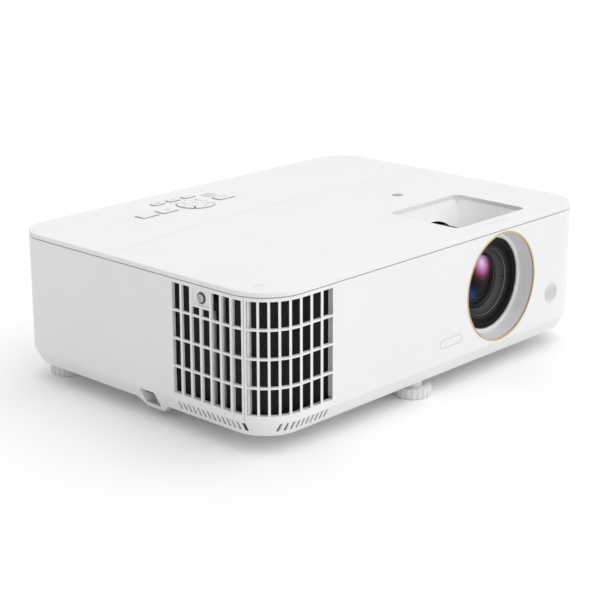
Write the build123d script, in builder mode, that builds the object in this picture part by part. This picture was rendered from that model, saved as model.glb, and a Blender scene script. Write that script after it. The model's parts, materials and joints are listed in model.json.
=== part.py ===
from build123d import *
from math import asin, cos, degrees, radians, sin, sqrt, tan
import os

os.makedirs("parts", exist_ok=True)

# Home projector: +Z up, lens facing -Y, origin on the table under the middle of the case. Millimetres.

# Case shells
case_width = 312.0
case_depth = 225.0
foot_clearance = 12.0
chamfer_height = 8.4
chamfer_inset = 4.45
lip_drop = 1.1
lip_width = 2.4
shadow_gap = 0.6
lid_thickness = 2.8
lid_edge_radius = 0.8
front_corner_radius = 28.5
rear_corner_radius = 24.5
rear_seam_rise = 18.4
wall = 2.4
floor_thickness = 2.4
seat_gap = 0.3
rim_height = 3.6
rim_root = 3.4
rim_thickness = 1.6
skirt_height = 2.4
skirt_thickness = 1.6
seam_gap = 0.4
front_seam_setback = 19.6

# Grilles in the side and the front corner
grille_rows = 4
row_opening = 16.1
row_bar = 1.2
grille_top_margin = 2.05
side_columns = 7
side_opening = 6.5
side_bar = 1.7
side_bar_depth = 1.6
side_grille_margin = 1.45
corner_columns = 8
corner_opening = 4.63
corner_bar = 1.5
corner_end_extra = 1.1
corner_grille_lead = 10.2
corner_pull_angle = 45.0
fin_depth = 1.9
end_fin_depth = 3.4
fin_thickness = 1.5

# Screw tab of the lamp cover
tab_first_column = 2
tab_columns = 2
tab_height = 9.95
tab_recess = 1.2
tab_border = 0.9
cover_screw_rise = 4.7
cover_screw_radius = 1.8
cover_screw_head_radius = 2.4
cover_screw_washer_radius = 3.4
cover_screw_washer_thickness = 0.4
cover_screw_head_height = 1.2
cover_screw_length = 12.0
cover_screw_slot = 0.9
cover_screw_slot_length = 3.4
cover_screw_slot_depth = 0.6
screw_clearance = 0.3
receiver_width = 8.0
receiver_depth = 7.0
receiver_standoff = 1.0

# Vent slots and the security bar in the chamfered edge
vent_slot_width = 1.7
vent_slot_top = 1.0
vent_slot_height = 5.4
vent_skin = 1.0
side_vent_count = 14
side_vent_pitch = 4.05
side_vent_from_front = 21.1
front_vent_count = 10
front_vent_pitch = 3.89
front_vent_from_left = 15.5
front_vent_reach = 13.0
bar_slot_width = 12.9
bar_slot_from_front = 102.2
bar_slot_top = 1.5
bar_drop = 6.8
bar_height = 3.3
bar_rib_width = 30.0
bar_foot_width = 14.0
bar_rib_depth = 15.6
bar_back_slope = 2.4
bar_thickness = 2.6
bar_pocket_depth = 5.6

# Lens
lens_from_right = 94.7
trim_land = 0.8
trim_width = 1.3
trim_edge = 0.4
trim_proud = 0.4
trim_seat_depth = 0.7
trim_gap = 0.1
lens_bevel = 0.6
funnel_floor_width = 2.2
funnel_flare = 2.1
funnel_ring_gap = 0.5
funnel_depth = 10.0
funnel_lip = 2.0
funnel_wall = 1.6
funnel_flange = 1.3
funnel_flange_thickness = 2.0
funnel_relief = 0.4
lens_fit = 0.08
slide_fit = 0.1
barrel_bore = 24.3
barrel_wall = 2.8
barrel_front = 12.5
barrel_dish = 0.5
barrel_end = 70.5
collar_height = 2.4
collar_width = 1.6
ring_side_gap = 0.4
focus_ring_front = 10.8
ring_wall = 3.02
ring_dish = 1.2
grip_height = 0.8
grip_front = 17.5
grip_length = 19.0
grip_chamfer = 1.0
focus_ring_length = 26.7
grip_flutes = 40
grip_flute_radius = 0.8
zoom_ring_length = 15.6
flange_radius = 30.0
flange_thickness = 4.0
cell_front = 13.0
cell_length = 17.0
cell_rim = 1.2
cell_wall = 5.6
cell_cone_depth = 6.0
cell_ledge = 1.1
cell_ledge_thickness = 2.0
front_glass_crown = 4.7
front_glass_edge = 8.0
carriage_length = 10.0
carriage_gap = 8.0
zoom_glass_radius = 12.9
zoom_glass_edge = 4.0
zoom_glass_crown = 2.0

# Well in the top through which the lens rings are reached
well_left = 26.3
well_right = 47.0
well_right_slope = 30.3
well_front_setback = 16.5
well_arch_gap = 2.7
well_ramp = 16.3
well_corner_radius = 5.0
well_wall = 1.6
well_rim = 3.0
well_rim_thickness = 1.5
well_ring_gap = 1.4

# Infrared windows
front_ir_from_right = 38.4
front_ir_drop = 17.1
front_ir_radius = 7.0
front_ir_lip = 1.2
front_ir_depth = 3.0
top_ir_x = 78.5
top_ir_y = -9.6
top_ir_radius = 3.9
top_ir_depth = 3.0

# Keypad
key_gap = 0.35
key_proud = 0.8
key_travel = 0.5
key_flange = 0.7
key_flange_thickness = 1.2
key_flange_gap = 0.1
key_edge_radius = 0.3
key_corner_radius = 1.2
plunger_radius = 1.5
plunger_length = 2.0
dome_radius = 1.7
dome_height = 0.8
dome_gap = 0.1
board_thickness = 1.6
keypad_from_rear = 38.9
small_key_space = 2.5
small_key_x = -37.3
small_key_pitch = 13.9
small_key_width = 10.2
small_key_depth = 5.4
wide_key_width = 14.6
wide_key_depth = 9.0
wide_key_pitch = 17.3
wide_key_left_space = 5.6
wide_key_right_space = 5.8
arrow_pad_x = -33.6
arrow_pad_radius = 13.0
arrow_split = 0.8
ok_half = 5.8
ok_space = 0.7
power_key_x = -9.5
power_key_radius = 5.2
power_key_proud = 0.2
power_key_space = 2.3
lamp_dot_space = 5.9
lamp_dot_pitch = 5.2
lamp_dot_radius = 1.0
lamp_dot_count = 3
light_guide_gap = 0.05
keypad_margin = 6.0
keypad_post_radius = 2.2

# Feet
front_foot_x = -11.7
front_foot_setback = 13.6
rear_foot_inset = 24.7
rear_foot_setback = 20.1
foot_wheel_radius = 12.2
foot_wheel_height = 6.5
foot_flutes = 20
foot_flute_radius = 1.0
foot_rim_clear = 0.3
foot_shaft_radius = 6.3
foot_shaft_fit = 0.08
foot_shaft_length = 24.0
foot_boss_radius = 8.6
foot_boss_height = 20.0
foot_groove_radius = 7.6
foot_groove_depth = 0.8
pad_radius = 10.2
pad_gap = 0.3
pad_thickness = 2.0

# Ceiling mount inserts and case screws
mount_spacing_x = 80.0
mount_spacing_y = 64.0
insert_radius = 3.2
insert_bore = 2.0
insert_length = 8.0
mount_boss_radius = 5.4
mount_boss_cap = 1.6
case_screw_radius = 1.5
case_screw_head_radius = 2.8
case_screw_head_height = 2.0
case_screw_length = 22.0
case_screw_socket = 1.0
case_screw_socket_depth = 1.0
case_screw_sink = 4.0
screw_post_radius = 4.2
screw_post_height = 14.0
post_front_left_x = -85.0
post_front_setback = 11.5
post_right_inset = 15.0
post_right_front_setback = 30.0
post_side_inset = 14.0
post_rear_setback = 42.5

# Exhaust fan behind the grilles
fan_size = 60.0
fan_depth = 15.0
fan_wall_gap = 6.5
fan_setback = 52.0
fan_screw_gap = 4.9
fan_rim = 1.7
fan_tip_gap = 1.2
fan_hub_radius = 13.0
fan_motor_radius = 11.0
fan_strut_width = 3.0
fan_strut_thickness = 2.4
fan_rotor_length = 10.0
fan_blades = 7
fan_blade_thickness = 1.2
fan_blade_pitch = 40.0
fan_blade_root = 6.0
fan_hole_radius = 2.1
fan_hole_inset = 5.0
spindle_radius = 1.5
spindle_fit = 0.06
rotor_gap = 0.6

# Lamp module
lamp_wall_gap = 5.4
lamp_length = 70.0
lamp_width = 72.0
lamp_height = 74.0
lamp_shell = 2.0
lamp_window_radius = 25.0
lamp_handle_radius = 2.5
lamp_handle_span = 36.0
lamp_handle_reach = 3.4
lamp_handle_bar = 1.7
reflector_radius = 27.0
reflector_belly_radius = 21.6
reflector_depth = 30.0
reflector_wall = 2.0
reflector_neck_radius = 7.0
reflector_neck_length = 14.0
burner_radius = 3.6
burner_length = 24.0

# Lamp blower
blower_side = 3.6
blower_height = 21.6
blower_from_left = 64.0
blower_setback = 52.5
blower_shell = 2.0
blower_inlet_radius = 15.0
blower_wheel_radius = 20.0
blower_wheel_height = 14.0
blower_clearance = 2.4
blower_blades = 24
blower_blade_thickness = 0.8
blower_blade_length = 6.0
blower_outlet = 30.0

# Light engine, colour wheel and heat sink
tunnel_length = 24.0
engine_right = 34.0
engine_length = 44.0
engine_neck_half = 33.0
engine_lift = 9.6
engine_height = 52.0
engine_shell = 3.0
engine_foot_radius = 5.0
tunnel_half = 6.0
tunnel_bore = 3.4
light_axis_offset = 20.0
wheel_lamp_gap = 22.5
wheel_tunnel_gap = 12.0
wheel_radius = 22.0
wheel_thickness = 1.2
wheel_offset = 15.0
wheel_hub_radius = 6.0
wheel_hub_length = 2.4
wheel_motor_radius = 9.0
wheel_motor_length = 8.0
wheel_motor_gap = 0.8
wheel_bracket_half = 8.0
wheel_bracket_thickness = 2.0
sink_width = 60.0
sink_height = 54.0
sink_base = 4.0
sink_depth = 20.0
sink_fins = 12
sink_fin_thickness = 1.6
sink_board_gap = 5.7

# Boards, power supply and speaker
main_board_from_left = 56.0
main_board_from_right = 66.0
main_board_depth = 38.0
main_board_level = 26.0
main_board_rear_gap = 2.4
main_board_post = 3.0
main_board_post_inset = 6.0
supply_from_right = 55.0
supply_width = 33.0
supply_length = 96.0
supply_from_rear = 34.5
supply_standoff = 6.0
supply_foot_radius = 3.0
supply_foot_inset = 5.0
transformer_size = 26.0
transformer_height = 28.0
capacitor_radius = 9.0
capacitor_height = 34.0
capacitor_count = 2
speaker_radius = 21.0
speaker_setback = 62.5
speaker_frame = 2.0
speaker_cone_radius = 17.0
speaker_cone_depth = 8.0
speaker_magnet_depth = 8.0
speaker_magnet_radius = 13.0
speaker_slots = 6
speaker_slot_height = 2.4
speaker_slot_pitch = 5.6
speaker_slot_length = 30.0
intake_columns = 7
intake_setback = 92.0

# Sockets in the rear panel
port_gap = 0.4
port_proud = 0.4
port_wall = 0.8
port_depth = 13.0
port_tongue = 1.4
port_tongue_inset = 2.4
hdmi_width = 15.0
hdmi_height = 5.8
hdmi_from_right = 100.0
hdmi_pitch = 24.0
hdmi_count = 2
usb_width = 13.6
usb_height = 6.2
usb_from_right = 146.0
usb_pitch = 22.0
usb_count = 2
dsub_width = 31.0
dsub_height = 12.5
dsub_from_right = 242.0
dsub_pitch = 40.0
dsub_count = 2
dsub_shell_width = 17.0
dsub_shell_height = 8.4
dsub_shell_reach = 5.0
dsub_side_angle = 80.0
dsub_plate = 2.0
dsub_nut_radius = 2.6
dsub_pin_radius = 0.6
dsub_pin_columns = 4
dsub_pin_pitch = 2.8
jack_from_right = 74.0
jack_pitch = 12.0
jack_count = 2
jack_lift = 12.0
jack_body = 9.0
jack_collar_radius = 3.6
jack_bore = 1.85
jack_bore_depth = 10.0
inlet_from_right = 44.0
inlet_level = 40.0
inlet_width = 30.0
inlet_height = 23.0
inlet_flange = 2.2
inlet_flange_thickness = 1.2
inlet_depth = 20.0
inlet_cavity_width = 24.4
inlet_cavity_height = 16.6
inlet_cavity_depth = 16.0
inlet_pin_length = 9.0
inlet_pin_width = 4.0
inlet_pin_thickness = 1.6
inlet_pin_spread = 7.0
inlet_pin_rise = 2.0

# Levels and reference planes that follow from the sizes above
floor_level = foot_clearance
floor_top = floor_level + floor_thickness
wall_level = floor_level + chamfer_height
barrel_radius = barrel_bore + barrel_wall
collar_radius = barrel_radius + collar_height
ring_bore = barrel_radius + lens_fit
focus_ring_radius = ring_bore + ring_wall
grip_radius = focus_ring_radius + grip_height
funnel_lip_radius = focus_ring_radius + funnel_ring_gap
funnel_floor_radius = funnel_lip_radius + funnel_floor_width
trim_radius = funnel_floor_radius + funnel_flare + trim_width
wall_height = 2 * (trim_radius + trim_land)
wall_top = wall_level + wall_height
lid_level = wall_top + shadow_gap
top_level = lid_level + lid_thickness
left_x = -case_width / 2
right_x = case_width / 2
front_y = -case_depth / 2
rear_y = case_depth / 2
front_seam = front_y + front_seam_setback
rear_seam = rear_y - rear_corner_radius + rear_seam_rise
lens_x = right_x - lens_from_right
lens_z = (wall_level + wall_top) / 2
lens_plane = Plane(origin=(lens_x, front_y, lens_z), x_dir=(1, 0, 0), z_dir=(0, 0, 1))
lens_axis = Axis((lens_x, front_y, lens_z), (0, 1, 0))
row_pitch = row_opening + row_bar
grille_top = wall_top - grille_top_margin
grille_bottom = grille_top - grille_rows * row_pitch + row_bar
grille_middle = (grille_top + grille_bottom) / 2
keypad_y = rear_y - keypad_from_rear
focus_ring_back = focus_ring_front + focus_ring_length
middle_collar = focus_ring_back + ring_side_gap
zoom_ring_front = middle_collar + collar_width + ring_side_gap
zoom_ring_back = zoom_ring_front + zoom_ring_length
rear_collar = zoom_ring_back + ring_side_gap
barrel_back = barrel_end + flange_thickness
well_reach = grip_radius + well_ring_gap
well_front = front_y + well_front_setback
well_arch = front_y + zoom_ring_back + well_arch_gap
well_back = well_arch + well_ramp


def save(piece, label):
    piece.part.label = label
    export_step(piece.part, f"parts/{label}.step")


def rounded_plan(inset):
    with BuildSketch(mode=Mode.PRIVATE) as plan:
        Rectangle(case_width - 2 * inset, case_depth - 2 * inset)
        fillet(plan.vertices().group_by(Axis.Y)[0], front_corner_radius - inset)
        fillet(plan.vertices().group_by(Axis.Y)[-1], rear_corner_radius - inset)
    return plan.sketch


def case_plan(level, outer, inner=None):
    with BuildSketch(Plane.XY.offset(level), mode=Mode.PRIVATE) as plan:
        add(rounded_plan(outer))
        if inner is not None:
            add(rounded_plan(inner), mode=Mode.SUBTRACT)
    return plan.sketch


def block(x0, x1, y0, y1, z0, z1, mode=Mode.ADD):
    with Locations(((x0 + x1) / 2, (y0 + y1) / 2, (z0 + z1) / 2)):
        Box(abs(x1 - x0), abs(y1 - y0), abs(z1 - z0), mode=mode)


def rod_x(x0, x1, y, z, radius, mode=Mode.ADD):
    with Locations(((x0 + x1) / 2, y, z)):
        Cylinder(radius, abs(x1 - x0), rotation=(0, 90, 0), mode=mode)


def rod_y(x, y0, y1, z, radius, mode=Mode.ADD):
    with Locations((x, (y0 + y1) / 2, z)):
        Cylinder(radius, abs(y1 - y0), rotation=(90, 0, 0), mode=mode)


def rod_z(x, y, z0, z1, radius, mode=Mode.ADD):
    with Locations((x, y, (z0 + z1) / 2)):
        Cylinder(radius, abs(z1 - z0), mode=mode)


def lens_turning(points):
    with BuildSketch(lens_plane, mode=Mode.PRIVATE) as profile:
        with BuildLine():
            Polyline(*points, close=True)
        make_face()
    revolve(profile.sketch, axis=lens_axis)


def wall_band(x0, x1, y0, y1):
    extrude(case_plan(wall_level, 0, wall), amount=wall_height)
    block(x0, x1, y0, y1, wall_level, wall_top, Mode.INTERSECT)


# Places shared by the shells and what fastens to them
foot_places = {
    "front": (front_foot_x, front_y + front_foot_setback),
    "rear_left": (left_x + rear_foot_inset, rear_y - rear_foot_setback),
    "rear_right": (right_x - rear_foot_inset, rear_y - rear_foot_setback),
}
mount_places = [
    (side * mount_spacing_x / 2, end * mount_spacing_y / 2) for side in (-1, 1) for end in (-1, 1)
]
screw_places = [
    (post_front_left_x, front_y + post_front_setback),
    (right_x - post_right_inset, front_y + post_right_front_setback),
    (right_x - post_side_inset, rear_y - post_rear_setback),
    (left_x + post_side_inset, rear_y - post_rear_setback),
]
main_board_left = left_x + main_board_from_left
main_board_right = right_x - main_board_from_right
main_board_rear = rear_y - wall - main_board_rear_gap
main_board_front = main_board_rear - main_board_depth
main_board_top = floor_top + main_board_level + board_thickness
board_posts = [
    (x, y)
    for x in (main_board_left + main_board_post_inset, main_board_right - main_board_post_inset)
    for y in (main_board_front + main_board_post_inset, main_board_rear - main_board_post_inset)
]
tab_bottom = grille_top - tab_height
cover_screw_z = tab_bottom + cover_screw_rise
side_pitch = side_opening + side_bar
side_last_y = front_seam + side_grille_margin + side_opening / 2
side_first_y = side_last_y + (side_columns - 1) * side_pitch
cover_screw_y = side_first_y - (tab_first_column + (tab_columns - 1) / 2) * side_pitch
vent_top = wall_level - vent_slot_top
vent_bottom = vent_top - vent_slot_height
bar_y = front_y + bar_slot_from_front
chamfer_slope = chamfer_inset / chamfer_height
lip_inset = chamfer_inset + lip_drop * chamfer_slope
funnel_relief_radius = trim_radius + funnel_flange + funnel_relief

# Hollow behind the vent slots, where the chamfered edge is thinner
first_side_vent = front_y + side_vent_from_front
first_front_vent = left_x + front_vent_from_left
side_vents = [first_side_vent + number * side_vent_pitch for number in range(side_vent_count)]
front_vents = [first_front_vent + number * front_vent_pitch for number in range(front_vent_count)]
vent_depth = chamfer_inset + wall + rim_thickness
with BuildPart() as vent_hollow:
    block(left_x, left_x + vent_depth, side_vents[0] - vent_slot_width, side_vents[-1] + vent_slot_width,
          vent_bottom, vent_top)
    block(front_vents[0] - vent_slot_width, front_vents[-1] + vent_slot_width, front_y,
          front_y + front_vent_reach, vent_bottom, vent_top)
    loft([case_plan(floor_level, chamfer_inset + vent_skin), case_plan(wall_level, vent_skin)], ruled=True,
         mode=Mode.INTERSECT)

# Bottom case: chamfered tray with the bosses that everything stands on
with BuildPart() as bottom_case:
    loft([case_plan(floor_level - lip_drop, lip_inset), case_plan(floor_level, chamfer_inset)], ruled=True)
    extrude(case_plan(floor_level - lip_drop, lip_inset + lip_width), amount=lip_drop, mode=Mode.SUBTRACT)
    loft([case_plan(floor_level, chamfer_inset), case_plan(wall_level, 0)], ruled=True)
    loft([case_plan(floor_top, chamfer_inset + wall), case_plan(wall_level, wall)], ruled=True,
         mode=Mode.SUBTRACT)
    rim = case_plan(wall_level - rim_root, wall + seat_gap, wall + seat_gap + rim_thickness)
    extrude(rim, amount=rim_root + rim_height)
    for x, y in foot_places.values():
        rod_z(x, y, floor_level, floor_level + foot_boss_height, foot_boss_radius)
    for x, y in mount_places:
        rod_z(x, y, floor_level, floor_level + insert_length + mount_boss_cap, mount_boss_radius)
    for x, y in screw_places:
        rod_z(x, y, floor_level, floor_level + screw_post_height, screw_post_radius)
    for x, y in board_posts:
        rod_z(x, y, floor_level, main_board_top - board_thickness, main_board_post)
    bar_low = floor_level - bar_drop
    bar_outer = left_x + chamfer_inset
    bar_foot = bar_outer + bar_drop * chamfer_slope
    bar_back = bar_outer + bar_rib_depth
    with BuildSketch(Plane.XY.offset(floor_level)) as bar_root:
        with Locations(((bar_outer + bar_back) / 2, bar_y)):
            Rectangle(bar_rib_depth, bar_rib_width)
    with BuildSketch(Plane.XY.offset(bar_low)) as bar_sole:
        with Locations(((bar_foot + bar_back - bar_back_slope) / 2, bar_y)):
            Rectangle(bar_back - bar_back_slope - bar_foot, bar_foot_width)
    loft([bar_root.sketch, bar_sole.sketch], ruled=True)
    bar_inner = bar_foot + bar_thickness
    bar_half = bar_slot_width / 2
    slot_foot = bar_low + bar_height
    block(left_x, bar_inner, bar_y - bar_half, bar_y + bar_half, slot_foot, wall_level - bar_slot_top,
          Mode.SUBTRACT)
    block(bar_inner, bar_inner + bar_pocket_depth, bar_y - bar_half, bar_y + bar_half,
          bar_low, wall_level - bar_slot_top, Mode.SUBTRACT)
    rod_y(lens_x, front_y + wall, front_y + wall + funnel_depth, lens_z, funnel_relief_radius, Mode.SUBTRACT)
    for x, y in foot_places.values():
        rod_z(x, y, floor_level - lip_drop, floor_level + foot_boss_height,
              foot_shaft_radius + foot_shaft_fit, Mode.SUBTRACT)
    for x, y in mount_places:
        rod_z(x, y, floor_level, floor_level + insert_length, insert_radius, Mode.SUBTRACT)
    for x, y in screw_places:
        rod_z(x, y, floor_level, floor_level + screw_post_height, case_screw_radius + screw_clearance,
              Mode.SUBTRACT)
        rod_z(x, y, floor_level, floor_level + case_screw_sink, case_screw_head_radius + screw_clearance,
              Mode.SUBTRACT)
    add(vent_hollow.part, mode=Mode.SUBTRACT)
    for y in side_vents:
        block(left_x, left_x + vent_depth, y - vent_slot_width / 2, y + vent_slot_width / 2,
              vent_bottom, vent_top, Mode.SUBTRACT)
    for x in front_vents:
        block(x - vent_slot_width / 2, x + vent_slot_width / 2, front_y, front_y + front_vent_reach,
              vent_bottom, vent_top, Mode.SUBTRACT)
save(bottom_case, "bottom_case")

# Key tops: place and outline of each one, in the order of the rows
arrow_inner = ok_half + ok_space
small_key_y = keypad_y + arrow_pad_radius + small_key_space + small_key_depth / 2
wide_key_half = wide_key_width / 2
volume_up_x = arrow_pad_x - arrow_pad_radius - wide_key_left_space - wide_key_half
volume_down_x = volume_up_x - wide_key_pitch
picture_x = arrow_pad_x + arrow_pad_radius + wide_key_right_space + wide_key_half
power_key_y = keypad_y + wide_key_depth / 2 + power_key_space + power_key_radius
lamp_dot_x = picture_x + wide_key_half + lamp_dot_space
key_caps = {
    "menu_key": ("bar", small_key_x - small_key_pitch, small_key_y, small_key_width, small_key_depth),
    "source_key": ("bar", small_key_x, small_key_y, small_key_width, small_key_depth),
    "back_key": ("bar", small_key_x + small_key_pitch, small_key_y, small_key_width, small_key_depth),
    "volume_down_key": ("bar", volume_down_x, keypad_y, wide_key_width, wide_key_depth),
    "volume_up_key": ("bar", volume_up_x, keypad_y, wide_key_width, wide_key_depth),
    "picture_key": ("bar", picture_x, keypad_y, wide_key_width, wide_key_depth),
    "power_key": ("disc", power_key_x, power_key_y, power_key_radius, 0),
    "ok_key": ("bar", arrow_pad_x, keypad_y, 2 * ok_half, 2 * ok_half),
}
arrow_turns = {"arrow_up_key": 0, "arrow_left_key": 90, "arrow_down_key": 180, "arrow_right_key": 270}
lamp_dots = [
    (lamp_dot_x, keypad_y + (number - (lamp_dot_count - 1) / 2) * lamp_dot_pitch)
    for number in range(lamp_dot_count)
]
key_flange_top = lid_level - key_flange_gap
key_flange_low = key_flange_top - key_flange_thickness
plunger_low = key_flange_low - plunger_length
dome_top = plunger_low - key_travel - dome_gap
keypad_top = dome_top - dome_height
keypad_left = volume_down_x - wide_key_half - keypad_margin
keypad_right = lamp_dot_x + keypad_margin
keypad_front = keypad_y - arrow_pad_radius - keypad_margin
keypad_rear = small_key_y + small_key_depth / 2 + keypad_margin
keypad_posts = [
    (x, y)
    for x in (keypad_left + keypad_post_radius, keypad_right - keypad_post_radius)
    for y in (keypad_front + keypad_post_radius, keypad_rear - keypad_post_radius)
]


def key_outline(level, shape, x, y, width, depth, grow=0.0):
    with BuildSketch(Plane.XY.offset(level), mode=Mode.PRIVATE) as outline:
        with Locations((x, y)):
            if shape == "disc":
                Circle(width + grow)
            else:
                RectangleRounded(width + 2 * grow, depth + 2 * grow, key_corner_radius + grow)
    return outline.sketch


def arrow_outline(level, turn, grow=0.0):
    spread = arrow_pad_radius + grow
    pad_plane = Plane(origin=(arrow_pad_x, keypad_y, level)).rotated((0, 0, turn))
    with BuildSketch(pad_plane, mode=Mode.PRIVATE) as outline:
        with BuildLine():
            Polyline((arrow_inner - arrow_split, arrow_inner), (spread, spread + arrow_split),
                     (-spread, spread + arrow_split), (arrow_split - arrow_inner, arrow_inner), close=True)
        make_face()
        Circle(spread, mode=Mode.INTERSECT)
    return outline.sketch


def well_outline(level, grow):
    with BuildSketch(Plane.XY.offset(level), mode=Mode.PRIVATE) as outline:
        with Locations((lens_x + (well_right - well_left) / 2, (well_front + well_back) / 2)):
            RectangleRounded(well_left + well_right + 2 * grow, well_back - well_front + 2 * grow,
                             well_corner_radius + grow)
    return outline.sketch


def well_space(grow):
    lean = tan(radians(well_right_slope))
    reach = well_reach - grow
    left = -well_left - grow
    left_rise = sqrt(reach ** 2 - left ** 2)
    foot = well_right + grow - (lid_level - lens_z) * lean
    spread = 1 + lean ** 2
    right_rise = (sqrt((foot * lean) ** 2 - spread * (foot ** 2 - reach ** 2)) - foot * lean) / spread
    right = foot + right_rise * lean
    high = top_level - lens_z
    brink = lid_level - lens_z - grow
    arch_plane = Plane(origin=(lens_x, well_arch + grow, lens_z), x_dir=(1, 0, 0), z_dir=(0, -1, 0))
    with BuildSketch(arch_plane, mode=Mode.PRIVATE) as arch:
        with BuildLine():
            Polyline((left, left_rise), (left, high), (foot + high * lean, high), (right, right_rise))
            ThreePointArc((right, right_rise), (0, reach), (left, left_rise))
        make_face()
    with BuildSketch(arch_plane.offset(-well_ramp), mode=Mode.PRIVATE) as edge:
        with BuildLine():
            Polyline((left, brink), (left, high), (foot + high * lean, high), (foot + brink * lean, brink),
                     close=True)
        make_face()
    with BuildPart(mode=Mode.PRIVATE) as space:
        loft([arch.sketch, edge.sketch], ruled=True)
        extrude(arch.sketch, amount=well_arch - well_front + 2 * grow)
        extrude(well_outline(lens_z, grow), amount=high, mode=Mode.INTERSECT)
    return space.part


# Top cover: flat lid with a skirt inside the walls
receiver_x = left_x + wall + receiver_standoff
with BuildPart() as top_cover:
    extrude(case_plan(lid_level, 0), amount=lid_thickness)
    fillet(top_cover.faces().sort_by(Axis.Z)[-1].edges(), lid_edge_radius)
    skirt = case_plan(lid_level - skirt_height, wall + seat_gap, wall + seat_gap + skirt_thickness)
    extrude(skirt, amount=skirt_height)
    rod_y(lens_x, front_y + wall, front_y + wall + funnel_depth, lens_z, funnel_relief_radius, Mode.SUBTRACT)
    tab_relief = tab_columns * side_pitch
    block(left_x, receiver_x, cover_screw_y - tab_relief, cover_screw_y + tab_relief,
          lid_level - skirt_height, lid_level, Mode.SUBTRACT)
    block(receiver_x, receiver_x + receiver_depth, cover_screw_y - receiver_width / 2,
          cover_screw_y + receiver_width / 2, cover_screw_z - receiver_width / 2, lid_level)
    rod_x(receiver_x, receiver_x + receiver_depth, cover_screw_y, cover_screw_z,
          cover_screw_radius + screw_clearance, Mode.SUBTRACT)
    for x, y in screw_places:
        rod_z(x, y, floor_level + screw_post_height, lid_level, screw_post_radius)
        rod_z(x, y, floor_level + screw_post_height, floor_level + case_screw_sink + case_screw_length,
              case_screw_radius, Mode.SUBTRACT)
    for x, y in keypad_posts:
        rod_z(x, y, keypad_top, lid_level, keypad_post_radius)
    extrude(well_outline(lid_level, 0), amount=lid_thickness, mode=Mode.SUBTRACT)
    for shape, x, y, width, depth in key_caps.values():
        if (x, y) != (arrow_pad_x, keypad_y):
            key_hole = key_outline(lid_level, shape, x, y, width, depth, key_gap)
            extrude(key_hole, amount=lid_thickness, mode=Mode.SUBTRACT)
    rod_z(arrow_pad_x, keypad_y, lid_level, top_level, arrow_pad_radius + key_gap, Mode.SUBTRACT)
    for x, y in lamp_dots:
        rod_z(x, y, lid_level, top_level, lamp_dot_radius + light_guide_gap, Mode.SUBTRACT)
    rod_z(top_ir_x, top_ir_y, lid_level, top_level, top_ir_radius + light_guide_gap, Mode.SUBTRACT)
save(top_cover, "top_cover")

# Front bezel: front face and both front corners, with the grille wrapped round the left one
corner_centre = Vector(left_x + front_corner_radius, front_y + front_corner_radius, 0)
pull = Vector(-cos(radians(corner_pull_angle)), -sin(radians(corner_pull_angle)), 0)
across = Vector(sin(radians(corner_pull_angle)), -cos(radians(corner_pull_angle)), 0)
corner_pitch = corner_opening + corner_bar
corner_span = corner_columns * corner_pitch - corner_bar
corner_plane = Plane(
    origin=corner_centre - pull * front_corner_radius + Vector(0, 0, grille_middle), x_dir=across, z_dir=pull
)
seam_angle = asin((corner_centre.Y - front_seam) / front_corner_radius)
fin_angle = seam_angle + (seam_gap + fin_thickness) / front_corner_radius
fin_radius = front_corner_radius - wall - fin_depth / 2
corner_end = corner_centre.X + sqrt(2) * (corner_span + corner_end_extra - corner_grille_lead)
corner_end += wall - front_corner_radius
with BuildPart() as front_bezel:
    wall_band(left_x, right_x, front_y, front_seam - seam_gap / 2)
    with BuildSketch(corner_plane):
        with Locations((corner_span / 2 - corner_grille_lead, 0)):
            with GridLocations(corner_pitch, row_pitch, corner_columns, grille_rows):
                Rectangle(corner_opening, row_opening)
            with GridLocations(corner_span - corner_opening + corner_end_extra, row_pitch, 2, grille_rows):
                Rectangle(corner_opening + corner_end_extra, row_opening)
    extrude(amount=2 * front_corner_radius + wall, mode=Mode.SUBTRACT)
    block(corner_end, corner_end + fin_thickness, front_y + wall, front_y + wall + end_fin_depth,
          grille_bottom, grille_top)
    left_fin = corner_centre - Vector(cos(fin_angle), sin(fin_angle), 0) * fin_radius
    with Locations(Location((left_fin.X, left_fin.Y, grille_middle), (0, 0, degrees(fin_angle)))):
        Box(fin_depth + wall / 2, fin_thickness, grille_top - grille_bottom)
    rod_y(lens_x, front_y, front_y + wall, lens_z, trim_radius + trim_gap, Mode.SUBTRACT)
    with Locations((lens_x, front_y + lens_bevel / 2, lens_z)):
        Cone(trim_radius + trim_gap, trim_radius + trim_gap + lens_bevel, lens_bevel, rotation=(90, 0, 0),
             mode=Mode.SUBTRACT)
    rod_y(right_x - front_ir_from_right, front_y, front_y + wall, lens_z - front_ir_drop,
          front_ir_radius + light_guide_gap, Mode.SUBTRACT)
save(front_bezel, "front_bezel")

# Lamp cover: the left side wall, with the side grille and the screw tab
with BuildPart() as lamp_cover:
    wall_band(left_x, left_x + front_corner_radius, front_seam + seam_gap / 2, rear_seam - seam_gap / 2)
    block(left_x + side_bar_depth, left_x + wall, side_last_y - side_opening / 2,
          side_first_y + side_opening / 2, grille_bottom, grille_top, Mode.SUBTRACT)
    tab_half = tab_columns * side_pitch / 2
    block(left_x, left_x + wall, cover_screw_y - tab_half, cover_screw_y + tab_half,
          tab_bottom - row_bar, grille_top)
    for column in range(side_columns):
        y = side_first_y - column * side_pitch
        for row in range(grille_rows):
            high = grille_top - row * row_pitch
            low = high - row_opening
            if row == 0 and tab_first_column <= column < tab_first_column + tab_columns:
                high = tab_bottom - row_bar
            block(left_x, left_x + front_corner_radius, y - side_opening / 2, y + side_opening / 2, low, high,
                  Mode.SUBTRACT)
    recess_half = tab_half - tab_border
    block(left_x, left_x + tab_recess, cover_screw_y - recess_half, cover_screw_y + recess_half,
          tab_bottom, grille_top, Mode.SUBTRACT)
    rod_x(left_x, left_x + wall, cover_screw_y, cover_screw_z, cover_screw_radius + screw_clearance,
          Mode.SUBTRACT)
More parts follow.
